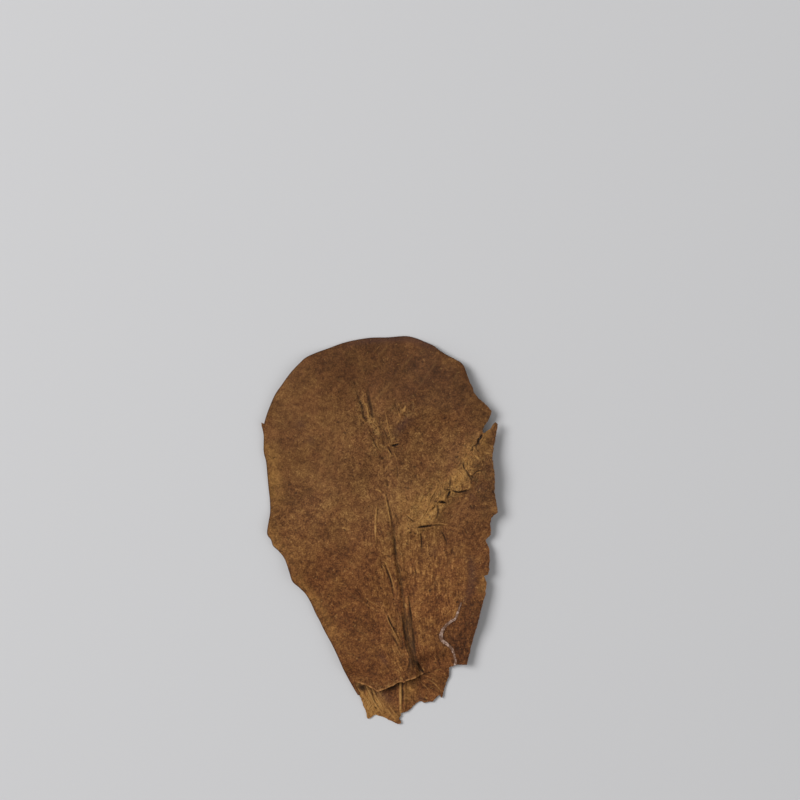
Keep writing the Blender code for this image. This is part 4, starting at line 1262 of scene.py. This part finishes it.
def with_creases(leaf, seen, colour):
    """The face's colour with pale wrinkles, the painted highlight on the raised crease, the torn lip, dark
    creases, painted shade in the furrows and the darker rim.
    """
    dark, pale = leaf.fact("dark"), leaf.fact("pale")
    uneven = leaf.noise(seen.place, 1.3, 2.0).between(-0.2, 0.06, 0.4, 1.0)
    colour = leaf.mix(seen.wrinkles * 0.7, colour, PALE_STRAW)
    colour = leaf.mix(pale.between(0.25, 0.6) * uneven * 0.75, colour, RIDGE_TAN)
    colour = leaf.mix(pale.between(0.5, 0.9) * uneven * 0.75, colour, PALE_STRAW)
    # Painted highlight along the raised crease
    colour = with_crease_highlight(leaf, seen, colour)
    broken = leaf.noise(seen.drifted, 0.9, 3.0).between(-0.12, 0.12, 0.1, 1.0)
    colour = leaf.mix(leaf.fact("lip").between(0.12, 0.6, 1.0, 0.0) * broken * 0.9, colour, LIP_TAN)
    colour = leaf.mix(dark.between(0.2, 0.65) * uneven * 0.8, colour, DARK_BROWN)
    colour = leaf.mix(dark.between(0.55, 0.95) * 0.9, colour, NEAR_BLACK)
    # Painted shade in the furrows
    colour = leaf.mix(leaf.fact("furrow") * (0.55 - seen.threads - seen.fibres), colour, FURROW_PAINTED_SHADE)
    return leaf.mix(leaf.fact("whole").between(0.1, 0.45, 1.0, 0.0) * 0.45, colour, PORE)


def back_colour(leaf, seen, tone, veins):
    """Paler browns with pores, and with the rib, the side veins and the net of fine veins paler still."""
    out = abs(leaf.fact("across"))
    rib = out.between(0.4, 1.1, 1.0, 0.0) * seen.fibres.between(-0.3, 0.2, 0.4, 1.0)
    veins = veins * out.between(2.0, 26.0, 1.0, 0.35)
    colour = leaf.mix(tone, BACK_BROWN, BACK_TAN)
    colour = leaf.mix(seen.pores * 0.45 + leaf.fact("dark") * 0.3, colour, PORE)
    return leaf.mix(veins * 0.5 + rib * 0.5 + seen.net * 0.25 + seen.fine_net * 0.12, colour, PALE_STRAW)


def leaf_finish():
    """Papery dried leaf: mottled browns with dark pores, pale fibres, golden creases and a net of veins."""
    leaf = Finish("dry_leaf", Roughness=0.62, Specular_IOR_Level=0.12)
    seen = leaf_patterns(leaf)
    tone = leaf_tone(leaf, seen)
    veins = side_veins(leaf)
    broken = leaf.noise(seen.place, 0.3, 2.0).between(-0.1, 0.15)
    face = leaf.mix(veins * broken * 0.09, face_colour(leaf, seen, tone), PALE_STRAW)
    face = with_creases(leaf, seen, face)
    back = back_colour(leaf, seen, tone, veins)
    leaf.feed("Base Color", leaf.mix(leaf.fact("back"), face, back))
    leaf.feed("Roughness", 0.66 - 0.25 * seen.mottles + 0.1 * seen.grain)

    height = 0.8 * seen.mottles + 0.5 * seen.grain - 0.25 * seen.pores
    height = height + 0.10 * seen.net + 0.06 * seen.fine_net
    height = height + seen.pleated * (seen.fibres * 0.6 + seen.threads * 0.5)
    height = height + seen.crumples * 1.2 + seen.wrinkles * 0.5
    relief = {"Strength": 0.9, "Distance": FINE_RELIEF * MM, "Height": height}
    leaf.feed("Normal", leaf.node("ShaderNodeBump", relief))
    return leaf.material


def pale_floor():
    bpy.ops.mesh.primitive_plane_add(size=4.0, location=(0, 0, -0.02 * MM))
    floor = bpy.context.object
    floor.name = "floor"
    finish = Finish("pale_floor", Base_Color=(0.60, 0.60, 0.61, 1), Roughness=0.9)
    floor.data.materials.append(finish.material)


def softbox(name, place, size, power):
    """A square light that faces the leaf."""
    light = bpy.data.lights.new(name, "AREA")
    light.energy = power
    light.size = size
    obj = bpy.data.objects.new(name, light)
    obj.location = place
    obj.rotation_euler = (-Vector(place)).to_track_quat("-Z", "Y").to_euler()
    bpy.context.scene.collection.objects.link(obj)


def studio():
    """Plain soft light, most of it from the left and some from the tip, so shadows fall to the right."""
    pale_floor()
    softbox("key", (-1.30, 0.55, 1.55), 1.1, 37.5)
    softbox("fill", (1.2, -0.8, 1.6), 1.6, 7.0)
    world = bpy.data.worlds.new("pale_surroundings")
    world.use_nodes = True
    world.node_tree.nodes["Background"].inputs["Color"].default_value = (1, 1, 1, 1)
    world.node_tree.nodes["Background"].inputs["Strength"].default_value = 0.28
    bpy.context.scene.world = world
    bpy.context.scene.view_settings.view_transform = "Standard"


# The photograph's scale, and the pixel where the middle of the leaf lies in it
MM_A_PIXEL = 0.285
FRAME_PIXELS = 800
LEAF_PIXEL = (379.5, 530.0)


def camera():
    """Looks straight down, placed so that the leaf lies in the frame as it does in the photograph."""
    data = bpy.data.cameras.new("camera")
    data.lens = 85.0
    data.clip_start = 0.01
    obj = bpy.data.objects.new("camera", data)
    right = (FRAME_PIXELS / 2 - LEAF_PIXEL[0]) * MM_A_PIXEL * MM
    up = (LEAF_PIXEL[1] - FRAME_PIXELS / 2) * MM_A_PIXEL * MM
    frame_width = FRAME_PIXELS * MM_A_PIXEL * MM
    obj.location = (right, up, frame_width * data.lens / data.sensor_width)
    bpy.context.scene.collection.objects.link(obj)
    bpy.context.scene.camera = obj


camera()
studio()
surface = leaf_finish()
blade_rows = mark_rows(BLADE_GROOVES + BLADE_RIDGES)
foot_rows = mark_rows(FOOT_GROOVES + FOOT_RIDGES)
blade = sheet("leaf_blade", blade_outline(), CRACKS, blade_rows, blade_faces, surface)
foot = sheet("leaf_foot", foot_outline(), [], foot_rows, foot_faces, surface)
for piece in (blade, foot):
    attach(piece, "root")
    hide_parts("leaf")
